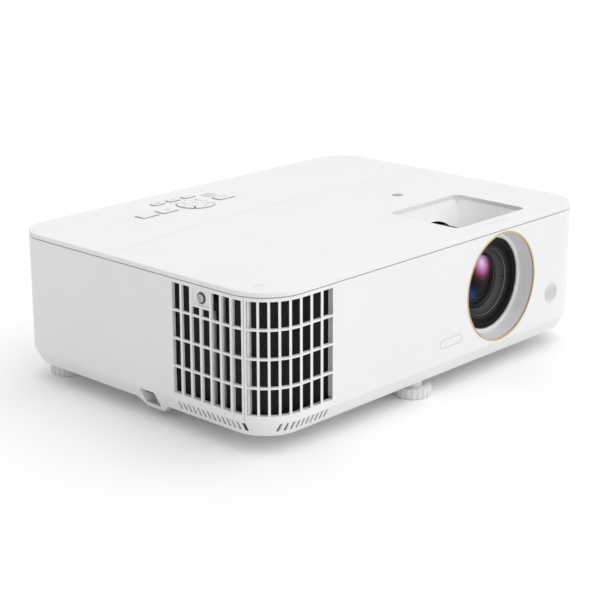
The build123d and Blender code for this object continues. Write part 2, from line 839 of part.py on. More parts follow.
save(lamp_cover, "lamp_cover")

# Captive screw of the lamp cover: slotted head on a washer face against the tab
screw_seat = left_x + tab_recess
with BuildPart() as lamp_cover_screw:
    rod_x(screw_seat - cover_screw_head_height, screw_seat, cover_screw_y, cover_screw_z,
          cover_screw_head_radius)
    fillet(lamp_cover_screw.faces().sort_by(Axis.X)[0].edges(), cover_screw_slot_depth / 2)
    rod_x(screw_seat - cover_screw_washer_thickness, screw_seat, cover_screw_y, cover_screw_z,
          cover_screw_washer_radius)
    rod_x(screw_seat, screw_seat + cover_screw_length, cover_screw_y, cover_screw_z, cover_screw_radius)
    slot_bottom = screw_seat - cover_screw_head_height + cover_screw_slot_depth
    arm = cover_screw_slot_length / 2
    half = cover_screw_slot / 2
    block(screw_seat - cover_screw_head_height, slot_bottom, cover_screw_y - arm, cover_screw_y + arm,
          cover_screw_z - half, cover_screw_z + half, Mode.SUBTRACT)
    block(screw_seat - cover_screw_head_height, slot_bottom, cover_screw_y - half, cover_screw_y + half,
          cover_screw_z - arm, cover_screw_z + arm, Mode.SUBTRACT)
save(lamp_cover_screw, "lamp_cover_screw")

# Right panel: air intake and speaker slots
speaker_y = front_y + speaker_setback
with BuildPart() as right_panel:
    wall_band(right_x - front_corner_radius, right_x, front_seam + seam_gap / 2, rear_seam - seam_gap / 2)
    for column in range(intake_columns):
        y = front_y + intake_setback + side_opening / 2 + column * side_pitch
        for row in range(grille_rows):
            high = grille_top - row * row_pitch
            block(right_x - wall, right_x, y - side_opening / 2, y + side_opening / 2,
                  high - row_opening, high, Mode.SUBTRACT)
    for number in range(speaker_slots):
        z = lens_z + (number - (speaker_slots - 1) / 2) * speaker_slot_pitch
        with BuildSketch(Plane(origin=(right_x, speaker_y, z), x_dir=(0, 1, 0), z_dir=(1, 0, 0))):
            SlotOverall(speaker_slot_length, speaker_slot_height)
        extrude(amount=-wall, mode=Mode.SUBTRACT)
save(right_panel, "right_panel")

# Rear panel: wall and both rear corners, with a cut-out for each socket
hdmi_places = [right_x - hdmi_from_right - number * hdmi_pitch for number in range(hdmi_count)]
usb_places = [right_x - usb_from_right - number * usb_pitch for number in range(usb_count)]
dsub_places = [right_x - dsub_from_right + number * dsub_pitch for number in range(dsub_count)]
jack_places = [right_x - jack_from_right - number * jack_pitch for number in range(jack_count)]
inlet_x = right_x - inlet_from_right
inlet_z = floor_level + inlet_level
jack_z = main_board_top + jack_lift
port_rear = rear_y + port_proud
flange_front = port_rear - inlet_flange_thickness
with BuildPart() as rear_panel:
    wall_band(left_x, right_x, rear_seam + seam_gap / 2, rear_y)
    cutouts = [(x, hdmi_width, hdmi_height) for x in hdmi_places]
    cutouts += [(x, usb_width, usb_height) for x in usb_places]
    cutouts += [(x, dsub_width, dsub_height) for x in dsub_places]
    for x, width, height in cutouts:
        block(x - width / 2 - port_gap, x + width / 2 + port_gap, rear_y - wall, rear_y,
              main_board_top - port_gap, main_board_top + height + port_gap, Mode.SUBTRACT)
    for x in jack_places:
        rod_y(x, rear_y - wall, rear_y, jack_z, jack_collar_radius + port_gap, Mode.SUBTRACT)
    block(inlet_x - inlet_width / 2 - port_gap, inlet_x + inlet_width / 2 + port_gap, rear_y - wall, rear_y,
          inlet_z - inlet_height / 2 - port_gap, inlet_z + inlet_height / 2 + port_gap, Mode.SUBTRACT)
    pocket_half = inlet_width / 2 + inlet_flange + port_gap
    pocket_rise = inlet_height / 2 + inlet_flange + port_gap
    block(inlet_x - pocket_half, inlet_x + pocket_half, flange_front, rear_y,
          inlet_z - pocket_rise, inlet_z + pocket_rise, Mode.SUBTRACT)
save(rear_panel, "rear_panel")

# Keys: a cap through the lid, a flange that stops under it and a plunger over the switch
for label, (shape, x, y, width, depth) in key_caps.items():
    grow = 0 if label == "ok_key" else key_flange
    with BuildPart() as key:
        cap = key_outline(key_flange_low, shape, x, y, width, depth)
        proud = power_key_proud if label == "power_key" else key_proud
        extrude(cap, amount=top_level + proud - key_flange_low)
        fillet(key.faces().sort_by(Axis.Z)[-1].edges(), key_edge_radius)
        if grow:
            extrude(key_outline(key_flange_low, shape, x, y, width, depth, grow), amount=key_flange_thickness)
        rod_z(x, y, plunger_low, key_flange_low, plunger_radius)
    save(key, label)

arrow_switch = (arrow_inner + arrow_pad_radius) / 2
arrow_switches = []
for label, turn in arrow_turns.items():
    x = arrow_pad_x - arrow_switch * sin(radians(turn))
    y = keypad_y + arrow_switch * cos(radians(turn))
    arrow_switches.append((x, y))
    with BuildPart() as arrow_key:
        extrude(arrow_outline(key_flange_low, turn), amount=top_level + key_proud - key_flange_low)
        fillet(arrow_key.faces().sort_by(Axis.Z)[-1].edges(), key_edge_radius)
        extrude(arrow_outline(key_flange_low, turn, key_flange), amount=key_flange_thickness)
        rod_z(x, y, plunger_low, key_flange_low, plunger_radius)
    save(arrow_key, label)

# Keypad board with a dome switch under each key, and the light guides of the status lamps
with BuildPart() as keypad_board:
    block(keypad_left, keypad_right, keypad_front, keypad_rear, keypad_top - board_thickness, keypad_top)
    for shape, x, y, width, depth in key_caps.values():
        rod_z(x, y, keypad_top, dome_top, dome_radius)
    for x, y in arrow_switches:
        rod_z(x, y, keypad_top, dome_top, dome_radius)
save(keypad_board, "keypad_board")

with BuildPart() as status_lamps:
    for x, y in lamp_dots:
        rod_z(x, y, keypad_top, top_level, lamp_dot_radius)
save(status_lamps, "status_lamps")

# Infrared windows
with BuildPart() as front_ir_window:
    ir_x = right_x - front_ir_from_right
    ir_z = lens_z - front_ir_drop
    rod_y(ir_x, front_y, front_y + wall, ir_z, front_ir_radius)
    rod_y(ir_x, front_y + wall, front_y + wall + front_ir_depth, ir_z, front_ir_radius + front_ir_lip)
save(front_ir_window, "front_ir_window")

with BuildPart() as top_ir_window:
    rod_z(top_ir_x, top_ir_y, lid_level, top_level, top_ir_radius)
    rod_z(top_ir_x, top_ir_y, lid_level - top_ir_depth, lid_level, top_ir_radius + front_ir_lip)
save(top_ir_window, "top_ir_window")

# Well round the lens rings, hung under the lid, with a ramp behind them and a sloping right wall
well_body = well_space(well_wall)
well_hollow = well_space(0)
with BuildPart() as lens_well:
    add(well_body)
    extrude(well_outline(lid_level, well_wall), amount=lid_thickness, mode=Mode.SUBTRACT)
    extrude(well_outline(lid_level - well_rim_thickness, well_rim), amount=well_rim_thickness)
    add(well_hollow, mode=Mode.SUBTRACT)
    rod_y(lens_x, front_y, well_back, lens_z, well_reach, Mode.SUBTRACT)
save(lens_well, "lens_well")

# Lens surround: bright trim ring, stepped funnel
trim_inner = trim_radius - trim_width
with BuildPart() as lens_trim_ring:
    lens_turning([
        (trim_inner, -trim_proud / 2), (trim_inner + trim_edge, -trim_proud),
        (trim_radius - trim_edge, -trim_proud), (trim_radius, -trim_proud / 2),
        (trim_radius, trim_seat_depth), (trim_inner, trim_seat_depth),
    ])
save(lens_trim_ring, "lens_trim_ring")

funnel_back = funnel_depth + funnel_lip
flange_back = wall + funnel_flange_thickness
with BuildPart() as lens_funnel:
    lens_turning([
        (trim_inner, trim_seat_depth), (funnel_floor_radius, funnel_depth), (funnel_lip_radius, funnel_depth),
        (funnel_lip_radius, funnel_back), (funnel_floor_radius + funnel_wall, funnel_back),
        (trim_radius, flange_back), (trim_radius + funnel_flange, flange_back),
        (trim_radius + funnel_flange, wall), (trim_radius, wall), (trim_radius, trim_seat_depth),
    ])
save(lens_funnel, "lens_funnel")

# Lens: fixed barrel, two rings that turn on it, and the groups that slide inside it
with BuildPart() as lens_barrel:
    lens_turning([
        (barrel_bore, barrel_front + barrel_dish), (barrel_radius, barrel_front),
        (barrel_radius, middle_collar), (collar_radius, middle_collar),
        (collar_radius, middle_collar + collar_width), (barrel_radius, middle_collar + collar_width),
        (barrel_radius, rear_collar), (collar_radius, rear_collar),
        (collar_radius, rear_collar + collar_width), (barrel_radius, rear_collar + collar_width),
        (barrel_radius, barrel_end), (flange_radius, barrel_end),
        (flange_radius, barrel_back), (barrel_bore, barrel_back),
    ])
save(lens_barrel, "lens_barrel")

grip_back = grip_front + grip_length
with BuildPart() as focus_ring:
    lens_turning([
        (ring_bore, focus_ring_front + ring_dish), (focus_ring_radius, focus_ring_front),
        (focus_ring_radius, grip_front), (grip_radius, grip_front + grip_chamfer),
        (grip_radius, grip_back - grip_chamfer), (focus_ring_radius, grip_back),
        (focus_ring_radius, focus_ring_back), (ring_bore, focus_ring_back),
    ])
    with Locations(Location((lens_x, front_y + (grip_front + grip_back) / 2, lens_z), (90, 0, 0))):
        with PolarLocations(grip_radius, grip_flutes):
            Cylinder(grip_flute_radius, grip_length, mode=Mode.SUBTRACT)
save(focus_ring, "focus_ring")

with BuildPart() as zoom_ring:
    lens_turning([
        (ring_bore, zoom_ring_front), (grip_radius - grip_chamfer, zoom_ring_front),
        (grip_radius, zoom_ring_front + grip_chamfer), (grip_radius, zoom_ring_back - grip_chamfer),
        (grip_radius - grip_chamfer, zoom_ring_back), (ring_bore, zoom_ring_back),
    ])
    with Locations(Location((lens_x, front_y + (zoom_ring_front + zoom_ring_back) / 2, lens_z), (90, 0, 0))):
        with PolarLocations(grip_radius, grip_flutes):
            Cylinder(grip_flute_radius, zoom_ring_length, mode=Mode.SUBTRACT)
save(zoom_ring, "zoom_ring")

sleeve_radius = barrel_bore - slide_fit
cell_back = cell_front + cell_length
ledge_front = cell_back - cell_ledge_thickness
cell_bore = sleeve_radius - cell_wall
glass_radius = cell_bore - slide_fit
cell_mouth_radius = sleeve_radius - cell_rim
with BuildPart() as focus_cell:
    lens_turning([
        (cell_mouth_radius, cell_front), (sleeve_radius, cell_front), (sleeve_radius, cell_back),
        (glass_radius - cell_ledge, cell_back), (glass_radius - cell_ledge, ledge_front),
        (cell_bore, ledge_front), (cell_bore, cell_front + cell_cone_depth),
    ])
save(focus_cell, "focus_cell")


def crowned_glass(radius, front_edge, back_edge, crown):
    sphere = (radius ** 2 + crown ** 2) / (2 * crown)
    half_angle = asin(radius / sphere) / 2
    pole = front_edge - crown
    with BuildSketch(lens_plane, mode=Mode.PRIVATE) as profile:
        with BuildLine():
            Polyline((0, pole), (0, back_edge), (radius, back_edge), (radius, front_edge))
            ThreePointArc((radius, front_edge),
                          (sphere * sin(half_angle), pole + sphere * (1 - cos(half_angle))), (0, pole))
        make_face()
    revolve(profile.sketch, axis=lens_axis)


with BuildPart() as front_glass:
    crowned_glass(glass_radius, ledge_front - front_glass_edge, ledge_front, front_glass_crown)
save(front_glass, "front_glass")

carriage_front = cell_back + carriage_gap
carriage_back = carriage_front + carriage_length
carriage_middle = (carriage_front + carriage_back) / 2
with BuildPart() as zoom_carriage:
    lens_turning([
        (zoom_glass_radius + slide_fit, carriage_front), (sleeve_radius, carriage_front),
        (sleeve_radius, carriage_back), (zoom_glass_radius - cell_ledge, carriage_back),
        (zoom_glass_radius - cell_ledge, carriage_middle + zoom_glass_edge / 2),
        (zoom_glass_radius + slide_fit, carriage_middle + zoom_glass_edge / 2),
    ])
save(zoom_carriage, "zoom_carriage")

with BuildPart() as zoom_glass:
    crowned_glass(zoom_glass_radius, carriage_middle - zoom_glass_edge / 2,
                  carriage_middle + zoom_glass_edge / 2, zoom_glass_crown)
save(zoom_glass, "zoom_glass")

# Feet: a fluted wheel on a smooth shaft, turning on a rubber pad
for place, (x, y) in foot_places.items():
    shaft_top = foot_wheel_height + foot_shaft_length
    with BuildPart() as foot_wheel:
        rod_z(x, y, foot_rim_clear, foot_wheel_height, foot_wheel_radius)
        with Locations((x, y, (foot_rim_clear + foot_wheel_height) / 2)):
            with PolarLocations(foot_wheel_radius, foot_flutes):
                Cylinder(foot_flute_radius, foot_wheel_height, mode=Mode.SUBTRACT)
        groove_low = foot_wheel_height - foot_groove_depth
        rod_z(x, y, groove_low, foot_wheel_height, foot_groove_radius, Mode.SUBTRACT)
        rod_z(x, y, groove_low, shaft_top, foot_shaft_radius)
        rod_z(x, y, 0, pad_thickness, pad_radius + pad_gap, Mode.SUBTRACT)
    save(foot_wheel, f"{place}_foot_wheel")
    with BuildPart() as foot_pad:
        rod_z(x, y, 0, pad_thickness, pad_radius)
        fillet(foot_pad.faces().sort_by(Axis.Z)[0].edges(), pad_gap)
    save(foot_pad, f"{place}_foot_pad")

# Threaded inserts of the ceiling mount, and the screws that close the case
with BuildPart() as mount_inserts:
    for x, y in mount_places:
        rod_z(x, y, floor_level, floor_level + insert_length, insert_radius)
        rod_z(x, y, floor_level, floor_level + insert_length, insert_bore, Mode.SUBTRACT)
save(mount_inserts, "mount_inserts")

with BuildPart() as case_screws:
    head_top = floor_level + case_screw_sink
    head_low = head_top - case_screw_head_height
    for x, y in screw_places:
        rod_z(x, y, head_low, head_top, case_screw_head_radius)
        rod_z(x, y, head_top, head_top + case_screw_length, case_screw_radius)
        rod_z(x, y, head_low, head_low + case_screw_socket_depth, case_screw_socket, Mode.SUBTRACT)
save(case_screws, "case_screws")

# Exhaust fan: frame with its motor plate, and the rotor on its spindle
fan_front = left_x + wall + fan_wall_gap
fan_back = fan_front + fan_depth
fan_y = front_y + fan_setback
fan_z = cover_screw_z - fan_screw_gap - fan_size / 2
motor_face = fan_back - fan_strut_thickness
fan_bore = fan_size / 2 - fan_rim
fan_hole_offset = fan_size / 2 - fan_hole_inset
with BuildPart() as exhaust_fan_frame:
    block(fan_front, fan_back, fan_y - fan_size / 2, fan_y + fan_size / 2, floor_top, fan_z + fan_size / 2)
    rod_x(fan_front, fan_back, fan_y, fan_z, fan_bore, Mode.SUBTRACT)
    for side in (-1, 1):
        for end in (-1, 1):
            rod_x(fan_front, fan_back, fan_y + side * fan_hole_offset, fan_z + end * fan_hole_offset,
                  fan_hole_radius, Mode.SUBTRACT)
    rod_x(motor_face, fan_back, fan_y, fan_z, fan_motor_radius)
    strut = fan_strut_width / 2
    strut_reach = fan_bore + strut
    block(motor_face, fan_back, fan_y - strut_reach, fan_y + strut_reach, fan_z - strut, fan_z + strut)
    block(motor_face, fan_back, fan_y - strut, fan_y + strut, fan_z - strut_reach, fan_z + strut_reach)
    rod_x(motor_face - fan_rotor_length, motor_face, fan_y, fan_z, spindle_radius)
save(exhaust_fan_frame, "exhaust_fan_frame")

rotor_back = motor_face - rotor_gap
rotor_centre = (rotor_back - fan_rotor_length / 2, fan_y, fan_z)
rotor_plane = Plane(origin=rotor_centre, x_dir=(0, 1, 0), z_dir=(1, 0, 0))
with BuildPart(rotor_plane) as exhaust_fan_rotor:
    Cylinder(fan_hub_radius, fan_rotor_length)
    blade_span = fan_bore - fan_tip_gap - fan_hub_radius
    with PolarLocations(fan_hub_radius + blade_span / 2, fan_blades):
        Box(blade_span + fan_blade_root, fan_blade_thickness, fan_rotor_length,
            rotation=(fan_blade_pitch, 0, 0))
    Cylinder(fan_bore - fan_tip_gap, fan_rotor_length, mode=Mode.INTERSECT)
    Cylinder(spindle_radius + spindle_fit, fan_rotor_length, mode=Mode.SUBTRACT)
save(exhaust_fan_rotor, "exhaust_fan_rotor")

# Lamp module: housing with a pull handle, and the reflector with its burner
lamp_left = left_x + wall + lamp_wall_gap
lamp_right = lamp_left + lamp_length
lamp_y = light_axis_offset
lamp_z = lens_z
lamp_top = floor_top + lamp_height
lamp_half = lamp_width / 2
with BuildPart() as lamp_housing:
    block(lamp_left, lamp_right, lamp_y - lamp_half, lamp_y + lamp_half, floor_top, lamp_top)
    block(lamp_left + lamp_shell, lamp_right - lamp_shell, lamp_y - lamp_half + lamp_shell,
          lamp_y + lamp_half - lamp_shell, floor_top + lamp_shell, lamp_top - lamp_shell, Mode.SUBTRACT)
    rod_x(lamp_right - lamp_shell, lamp_right, lamp_y, lamp_z, lamp_window_radius, Mode.SUBTRACT)
    for side in (-1, 1):
        y = lamp_y + side * lamp_handle_span / 2
        rod_x(lamp_left - lamp_handle_reach, lamp_left, y, lamp_z, lamp_handle_radius)
    handle_half = lamp_handle_span / 2 + lamp_handle_radius
    block(lamp_left - lamp_handle_reach, lamp_left - lamp_handle_reach + lamp_handle_bar,
          lamp_y - handle_half, lamp_y + handle_half,
          lamp_z - lamp_handle_radius, lamp_z + lamp_handle_radius)
save(lamp_housing, "lamp_housing")

reflector_mouth = lamp_right - lamp_shell
reflector_back = reflector_mouth - reflector_depth
lamp_plane = Plane(origin=(reflector_back, lamp_y, lamp_z), x_dir=(1, 0, 0), z_dir=(0, -1, 0))
lamp_axis = Axis((reflector_back, lamp_y, lamp_z), (1, 0, 0))
with BuildPart() as lamp_reflector:
    with BuildSketch(lamp_plane):
        with BuildLine():
            belly = (reflector_depth / 2, reflector_belly_radius)
            inner_belly = (reflector_depth / 2, reflector_belly_radius - reflector_wall)
            lip = (reflector_depth, reflector_radius)
            inner_lip = (reflector_depth, reflector_radius - reflector_wall)
            ThreePointArc((0, reflector_neck_radius), belly, lip)
            Line(lip, inner_lip)
            ThreePointArc(inner_lip, inner_belly, (0, burner_radius))
            Polyline((0, burner_radius), (burner_length, burner_radius / 2), (burner_length, 0),
                     (-reflector_neck_length, 0), (-reflector_neck_length, reflector_neck_radius),
                     (0, reflector_neck_radius))
        make_face()
    revolve(axis=lamp_axis)
save(lamp_reflector, "lamp_reflector")

# Lamp blower: flat housing and its bladed wheel
blower_x = left_x + blower_from_left
blower_y = front_y + blower_setback
blower_top = floor_top + blower_height
wheel_low = floor_top + blower_shell + blower_clearance
chamber = blower_wheel_radius + blower_clearance
blower_half = chamber + blower_side
with BuildPart() as blower_housing:
    block(blower_x - blower_half, blower_x + blower_half, blower_y - blower_half, blower_y + blower_half,
          floor_top, blower_top)
    rod_z(blower_x, blower_y, floor_top + blower_shell, blower_top - blower_shell, chamber, Mode.SUBTRACT)
    rod_z(blower_x, blower_y, blower_top - blower_shell, blower_top, blower_inlet_radius, Mode.SUBTRACT)
    block(blower_x - blower_outlet / 2, blower_x + blower_outlet / 2, blower_y, blower_y + blower_half,
          floor_top + blower_shell, blower_top - blower_shell, Mode.SUBTRACT)
    rod_z(blower_x, blower_y, floor_top + blower_shell, wheel_low + blower_wheel_height, spindle_radius)
save(blower_housing, "blower_housing")

with BuildPart(Plane(origin=(blower_x, blower_y, wheel_low))) as blower_wheel:
    Cylinder(blower_wheel_radius, blower_shell, align=(Align.CENTER, Align.CENTER, Align.MIN))
    Cylinder(wheel_hub_radius, blower_wheel_height, align=(Align.CENTER, Align.CENTER, Align.MIN))
    with PolarLocations(blower_wheel_radius - blower_blade_length / 2, blower_blades):
        Box(blower_blade_length, blower_blade_thickness, blower_wheel_height,
            align=(Align.CENTER, Align.CENTER, Align.MIN))
    Cylinder(blower_wheel_radius, blower_wheel_height, align=(Align.CENTER, Align.CENTER, Align.MIN),
             mode=Mode.INTERSECT)
    Cylinder(spindle_radius + spindle_fit, blower_wheel_height,
             align=(Align.CENTER, Align.CENTER, Align.MIN), mode=Mode.SUBTRACT)
save(blower_wheel, "blower_wheel")

# Light engine: hollow casting behind the lens with the light tunnel towards the lamp
engine_front = front_y + barrel_back
engine_back = main_board_front - sink_board_gap - sink_depth
neck_back = engine_back - engine_length
engine_low = floor_top + engine_lift
engine_top = engine_low + engine_height
wheel_x = lamp_right + wheel_lamp_gap
tunnel_left = wheel_x + wheel_tunnel_gap
engine_x0 = tunnel_left + tunnel_length
engine_x1 = lens_x + engine_right
neck_x0 = lens_x - engine_neck_half
neck_x1 = lens_x + engine_neck_half
with BuildPart() as light_engine:
    block(engine_x0, engine_x1, neck_back, engine_back, engine_low, engine_top)
    block(neck_x0, neck_x1, engine_front, neck_back, engine_low, engine_top)
    block(tunnel_left, engine_x0, lamp_y - tunnel_half, lamp_y + tunnel_half, lamp_z - tunnel_half,
          lamp_z + tunnel_half)
    block(engine_x0 + engine_shell, engine_x1 - engine_shell, neck_back + engine_shell,
          engine_back - engine_shell, engine_low + engine_shell, engine_top - engine_shell, Mode.SUBTRACT)
    rod_y(lens_x, engine_front, neck_back + engine_shell, lens_z, zoom_glass_radius, Mode.SUBTRACT)
    block(tunnel_left, engine_x0 + engine_shell, lamp_y - tunnel_bore, lamp_y + tunnel_bore,
          lamp_z - tunnel_bore, lamp_z + tunnel_bore, Mode.SUBTRACT)
    for x in (engine_x0 + engine_foot_radius, engine_x1 - engine_foot_radius):
        rod_z(x, engine_back - engine_foot_radius, floor_top, engine_low, engine_foot_radius)
    rod_z(neck_x1 - engine_foot_radius, engine_front + engine_foot_radius, floor_top, engine_low,
          engine_foot_radius)
save(light_engine, "light_engine")

# Colour wheel on its motor, between the lamp and the light tunnel
wheel_y = lamp_y + wheel_offset
motor_front = wheel_x + wheel_hub_length / 2 + wheel_motor_gap
motor_back = motor_front + wheel_motor_length
with BuildPart() as colour_wheel:
    rod_x(wheel_x - wheel_thickness / 2, wheel_x + wheel_thickness / 2, wheel_y, lamp_z, wheel_radius)
    rod_x(wheel_x - wheel_hub_length / 2, wheel_x + wheel_hub_length / 2, wheel_y, lamp_z, wheel_hub_radius)
    rod_x(wheel_x - wheel_hub_length, wheel_x + wheel_hub_length, wheel_y, lamp_z,
          spindle_radius + spindle_fit, Mode.SUBTRACT)
save(colour_wheel, "colour_wheel")

with BuildPart() as colour_wheel_motor:
    rod_x(wheel_x - wheel_hub_length / 2, motor_front, wheel_y, lamp_z, spindle_radius)
    rod_x(motor_front, motor_back, wheel_y, lamp_z, wheel_motor_radius)
    block(motor_back - wheel_bracket_thickness, motor_back, wheel_y - wheel_bracket_half,
          wheel_y + wheel_bracket_half, floor_top, lamp_z)
save(colour_wheel_motor, "colour_wheel_motor")

# Heat sink of the imaging chip, on the back of the light engine
with BuildPart() as chip_heat_sink:
    sink_x = lens_x
    sink_z = (engine_low + engine_top) / 2
    block(sink_x - sink_width / 2, sink_x + sink_width / 2, engine_back, engine_back + sink_base,
          sink_z - sink_height / 2, sink_z + sink_height / 2)
    fin_pitch = (sink_width - sink_fin_thickness) / (sink_fins - 1)
    for number in range(sink_fins):
        x = sink_x - sink_width / 2 + number * fin_pitch
        block(x, x + sink_fin_thickness, engine_back, engine_back + sink_depth, sink_z - sink_height / 2,
              sink_z + sink_height / 2)
save(chip_heat_sink, "chip_heat_sink")

# Main board on its posts, power supply, speaker
with BuildPart() as main_board:
    block(main_board_left, main_board_right, main_board_front, main_board_rear,
          main_board_top - board_thickness, main_board_top)
save(main_board, "main_board")

supply_left = right_x - supply_from_right
supply_right = supply_left + supply_width
supply_rear = rear_y - supply_from_rear
supply_front = supply_rear - supply_length
supply_top = floor_top + supply_standoff + board_thickness
supply_middle = (supply_left + supply_right) / 2
with BuildPart() as power_supply:
    block(supply_left, supply_right, supply_front, supply_rear, supply_top - board_thickness, supply_top)
    for x in (supply_left + supply_foot_inset, supply_right - supply_foot_inset):
        for y in (supply_front + supply_foot_inset, supply_rear - supply_foot_inset):
            rod_z(x, y, floor_top, supply_top - board_thickness, supply_foot_radius)
    block(supply_middle - transformer_size / 2, supply_middle + transformer_size / 2,
          supply_front + supply_foot_inset, supply_front + supply_foot_inset + transformer_size,
          supply_top, supply_top + transformer_height)
    capacitor_pitch = 2 * capacitor_radius + supply_foot_inset
    for number in range(capacitor_count):
        y = supply_rear - supply_foot_inset - capacitor_radius - number * capacitor_pitch
        rod_z(supply_middle, y, supply_top, supply_top + capacitor_height, capacitor_radius)
save(power_supply, "power_supply")

speaker_face = right_x - wall
with BuildPart() as speaker:
    rod_x(speaker_face - speaker_frame, speaker_face, speaker_y, lens_z, speaker_radius)
    rod_x(speaker_face - speaker_frame, speaker_face, speaker_y, lens_z, speaker_cone_radius, Mode.SUBTRACT)
    cone_back = speaker_face - speaker_frame - speaker_cone_depth
    with Locations(Location((cone_back + speaker_cone_depth / 2, speaker_y, lens_z), (0, 90, 0))):
        Cone(speaker_magnet_radius, speaker_radius, speaker_cone_depth)
    rod_x(cone_back - speaker_magnet_depth, cone_back, speaker_y, lens_z, speaker_magnet_radius)
save(speaker, "speaker")

# Sockets on the rear edge of the main board
def flat_socket(x, width, height):
    half = width / 2
    block(x - half, x + half, port_rear - port_depth, port_rear, main_board_top, main_board_top + height)
    block(x - half + port_wall, x + half - port_wall, port_rear - port_depth + port_wall, port_rear,
          main_board_top + port_wall, main_board_top + height - port_wall, Mode.SUBTRACT)
    tongue_half = half - port_tongue_inset
    block(x - tongue_half, x + tongue_half, port_rear - port_depth, port_rear - port_wall,
          main_board_top + height / 2 - port_tongue / 2, main_board_top + height / 2 + port_tongue / 2)


with BuildPart() as hdmi_sockets:
    for x in hdmi_places:
        flat_socket(x, hdmi_width, hdmi_height)
save(hdmi_sockets, "hdmi_sockets")

with BuildPart() as usb_sockets:
    for x in usb_places:
        flat_socket(x, usb_width, usb_height)
save(usb_sockets, "usb_sockets")

dsub_face = port_rear - dsub_shell_reach
dsub_pin_end = port_rear - port_wall
with BuildPart() as dsub_sockets:
    dsub_z = main_board_top + dsub_height / 2
    for x in dsub_places:
        block(x - dsub_width / 2, x + dsub_width / 2, dsub_face - dsub_plate, dsub_face, main_board_top,
              main_board_top + dsub_height)
        block(x - dsub_shell_width / 2, x + dsub_shell_width / 2, dsub_face - port_depth,
              dsub_face - dsub_plate, main_board_top, main_board_top + dsub_height)
        with BuildSketch(Plane(origin=(x, dsub_face, dsub_z), x_dir=(1, 0, 0), z_dir=(0, 1, 0))):
            Trapezoid(dsub_shell_width, dsub_shell_height, dsub_side_angle)
            Trapezoid(dsub_shell_width - 2 * port_wall, dsub_shell_height - 2 * port_wall, dsub_side_angle,
                      mode=Mode.SUBTRACT)
        extrude(amount=dsub_shell_reach)
        for row in (-1, 1):
            for column in range(dsub_pin_columns):
                pin_x = x + (column - (dsub_pin_columns - 1) / 2) * dsub_pin_pitch
                rod_y(pin_x, dsub_face, dsub_pin_end, dsub_z + row * dsub_pin_pitch / 2, dsub_pin_radius)
        nut_spread = (dsub_width / 2 + dsub_shell_width / 2) / 2
        for side in (-1, 1):
            rod_y(x + side * nut_spread, dsub_face, dsub_pin_end, dsub_z, dsub_nut_radius)
save(dsub_sockets, "dsub_sockets")

with BuildPart() as audio_jacks:
    for x in jack_places:
        block(x - jack_body / 2, x + jack_body / 2, rear_y - wall - port_depth, rear_y - wall, main_board_top,
              jack_z + jack_body / 2)
        rod_y(x, rear_y - wall, port_rear, jack_z, jack_collar_radius)
        rod_y(x, port_rear - jack_bore_depth, port_rear, jack_z, jack_bore, Mode.SUBTRACT)
save(audio_jacks, "audio_jacks")

with BuildPart() as mains_inlet:
    cavity_floor = port_rear - inlet_cavity_depth
    half_width = inlet_width / 2
    half_height = inlet_height / 2
    flange_half = half_width + inlet_flange
    flange_rise = half_height + inlet_flange
    cavity_half = inlet_cavity_width / 2
    cavity_rise = inlet_cavity_height / 2
    block(inlet_x - half_width, inlet_x + half_width, rear_y - inlet_depth, flange_front,
          inlet_z - half_height, inlet_z + half_height)
    block(inlet_x - flange_half, inlet_x + flange_half, flange_front, port_rear,
          inlet_z - flange_rise, inlet_z + flange_rise)
    block(inlet_x - cavity_half, inlet_x + cavity_half, cavity_floor, port_rear,
          inlet_z - cavity_rise, inlet_z + cavity_rise, Mode.SUBTRACT)
    for side, rise in ((-1, -1), (0, 1), (1, -1)):
        pin_x = inlet_x + side * inlet_pin_spread
        pin_z = inlet_z + rise * inlet_pin_rise
        block(pin_x - inlet_pin_thickness / 2, pin_x + inlet_pin_thickness / 2, cavity_floor,
              cavity_floor + inlet_pin_length, pin_z - inlet_pin_width / 2, pin_z + inlet_pin_width / 2)
save(mains_inlet, "mains_inlet")
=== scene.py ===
import json
from math import asin, cos, degrees, pi, radians, sin
import bpy
import bmesh
from mathutils import Matrix, Vector


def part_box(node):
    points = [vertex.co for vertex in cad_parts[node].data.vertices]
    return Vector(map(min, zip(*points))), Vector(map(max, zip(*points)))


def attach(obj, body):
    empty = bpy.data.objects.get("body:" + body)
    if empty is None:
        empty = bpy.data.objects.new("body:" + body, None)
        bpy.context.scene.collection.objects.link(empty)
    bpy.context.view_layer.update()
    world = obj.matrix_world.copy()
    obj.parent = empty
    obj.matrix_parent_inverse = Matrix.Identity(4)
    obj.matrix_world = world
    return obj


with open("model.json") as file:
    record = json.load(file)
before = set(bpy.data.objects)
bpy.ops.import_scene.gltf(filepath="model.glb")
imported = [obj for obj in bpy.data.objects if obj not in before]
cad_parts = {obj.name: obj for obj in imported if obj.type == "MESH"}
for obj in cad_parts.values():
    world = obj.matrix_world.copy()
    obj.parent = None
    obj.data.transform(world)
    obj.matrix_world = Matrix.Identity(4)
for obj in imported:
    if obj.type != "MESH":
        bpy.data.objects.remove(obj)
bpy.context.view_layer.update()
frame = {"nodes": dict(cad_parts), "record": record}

nodes = frame["nodes"]
print("frame loaded:", len(nodes), "nodes")


def middleOf(node):
    low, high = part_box(node)
    return (low + high) / 2


# places that several pieces share, in metres
millimetre = 0.001
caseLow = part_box("bottom_case")[0]
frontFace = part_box("front_bezel")[0].y
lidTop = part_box("top_cover")[1].z
lensMiddle = middleOf("lens_trim_ring")
aboutLens = (1, 0, 1)  # reach from the lens axis, which runs along Y
cornerReach = 0.0285   # middle of the front left corner's arc, from the case's left and front
cornerX = caseLow.x + cornerReach
cornerY = frontFace + cornerReach

# node helpers
looks = {}
noiseSpread = (0.3, 0.7)  # where nearly all of a noise lies


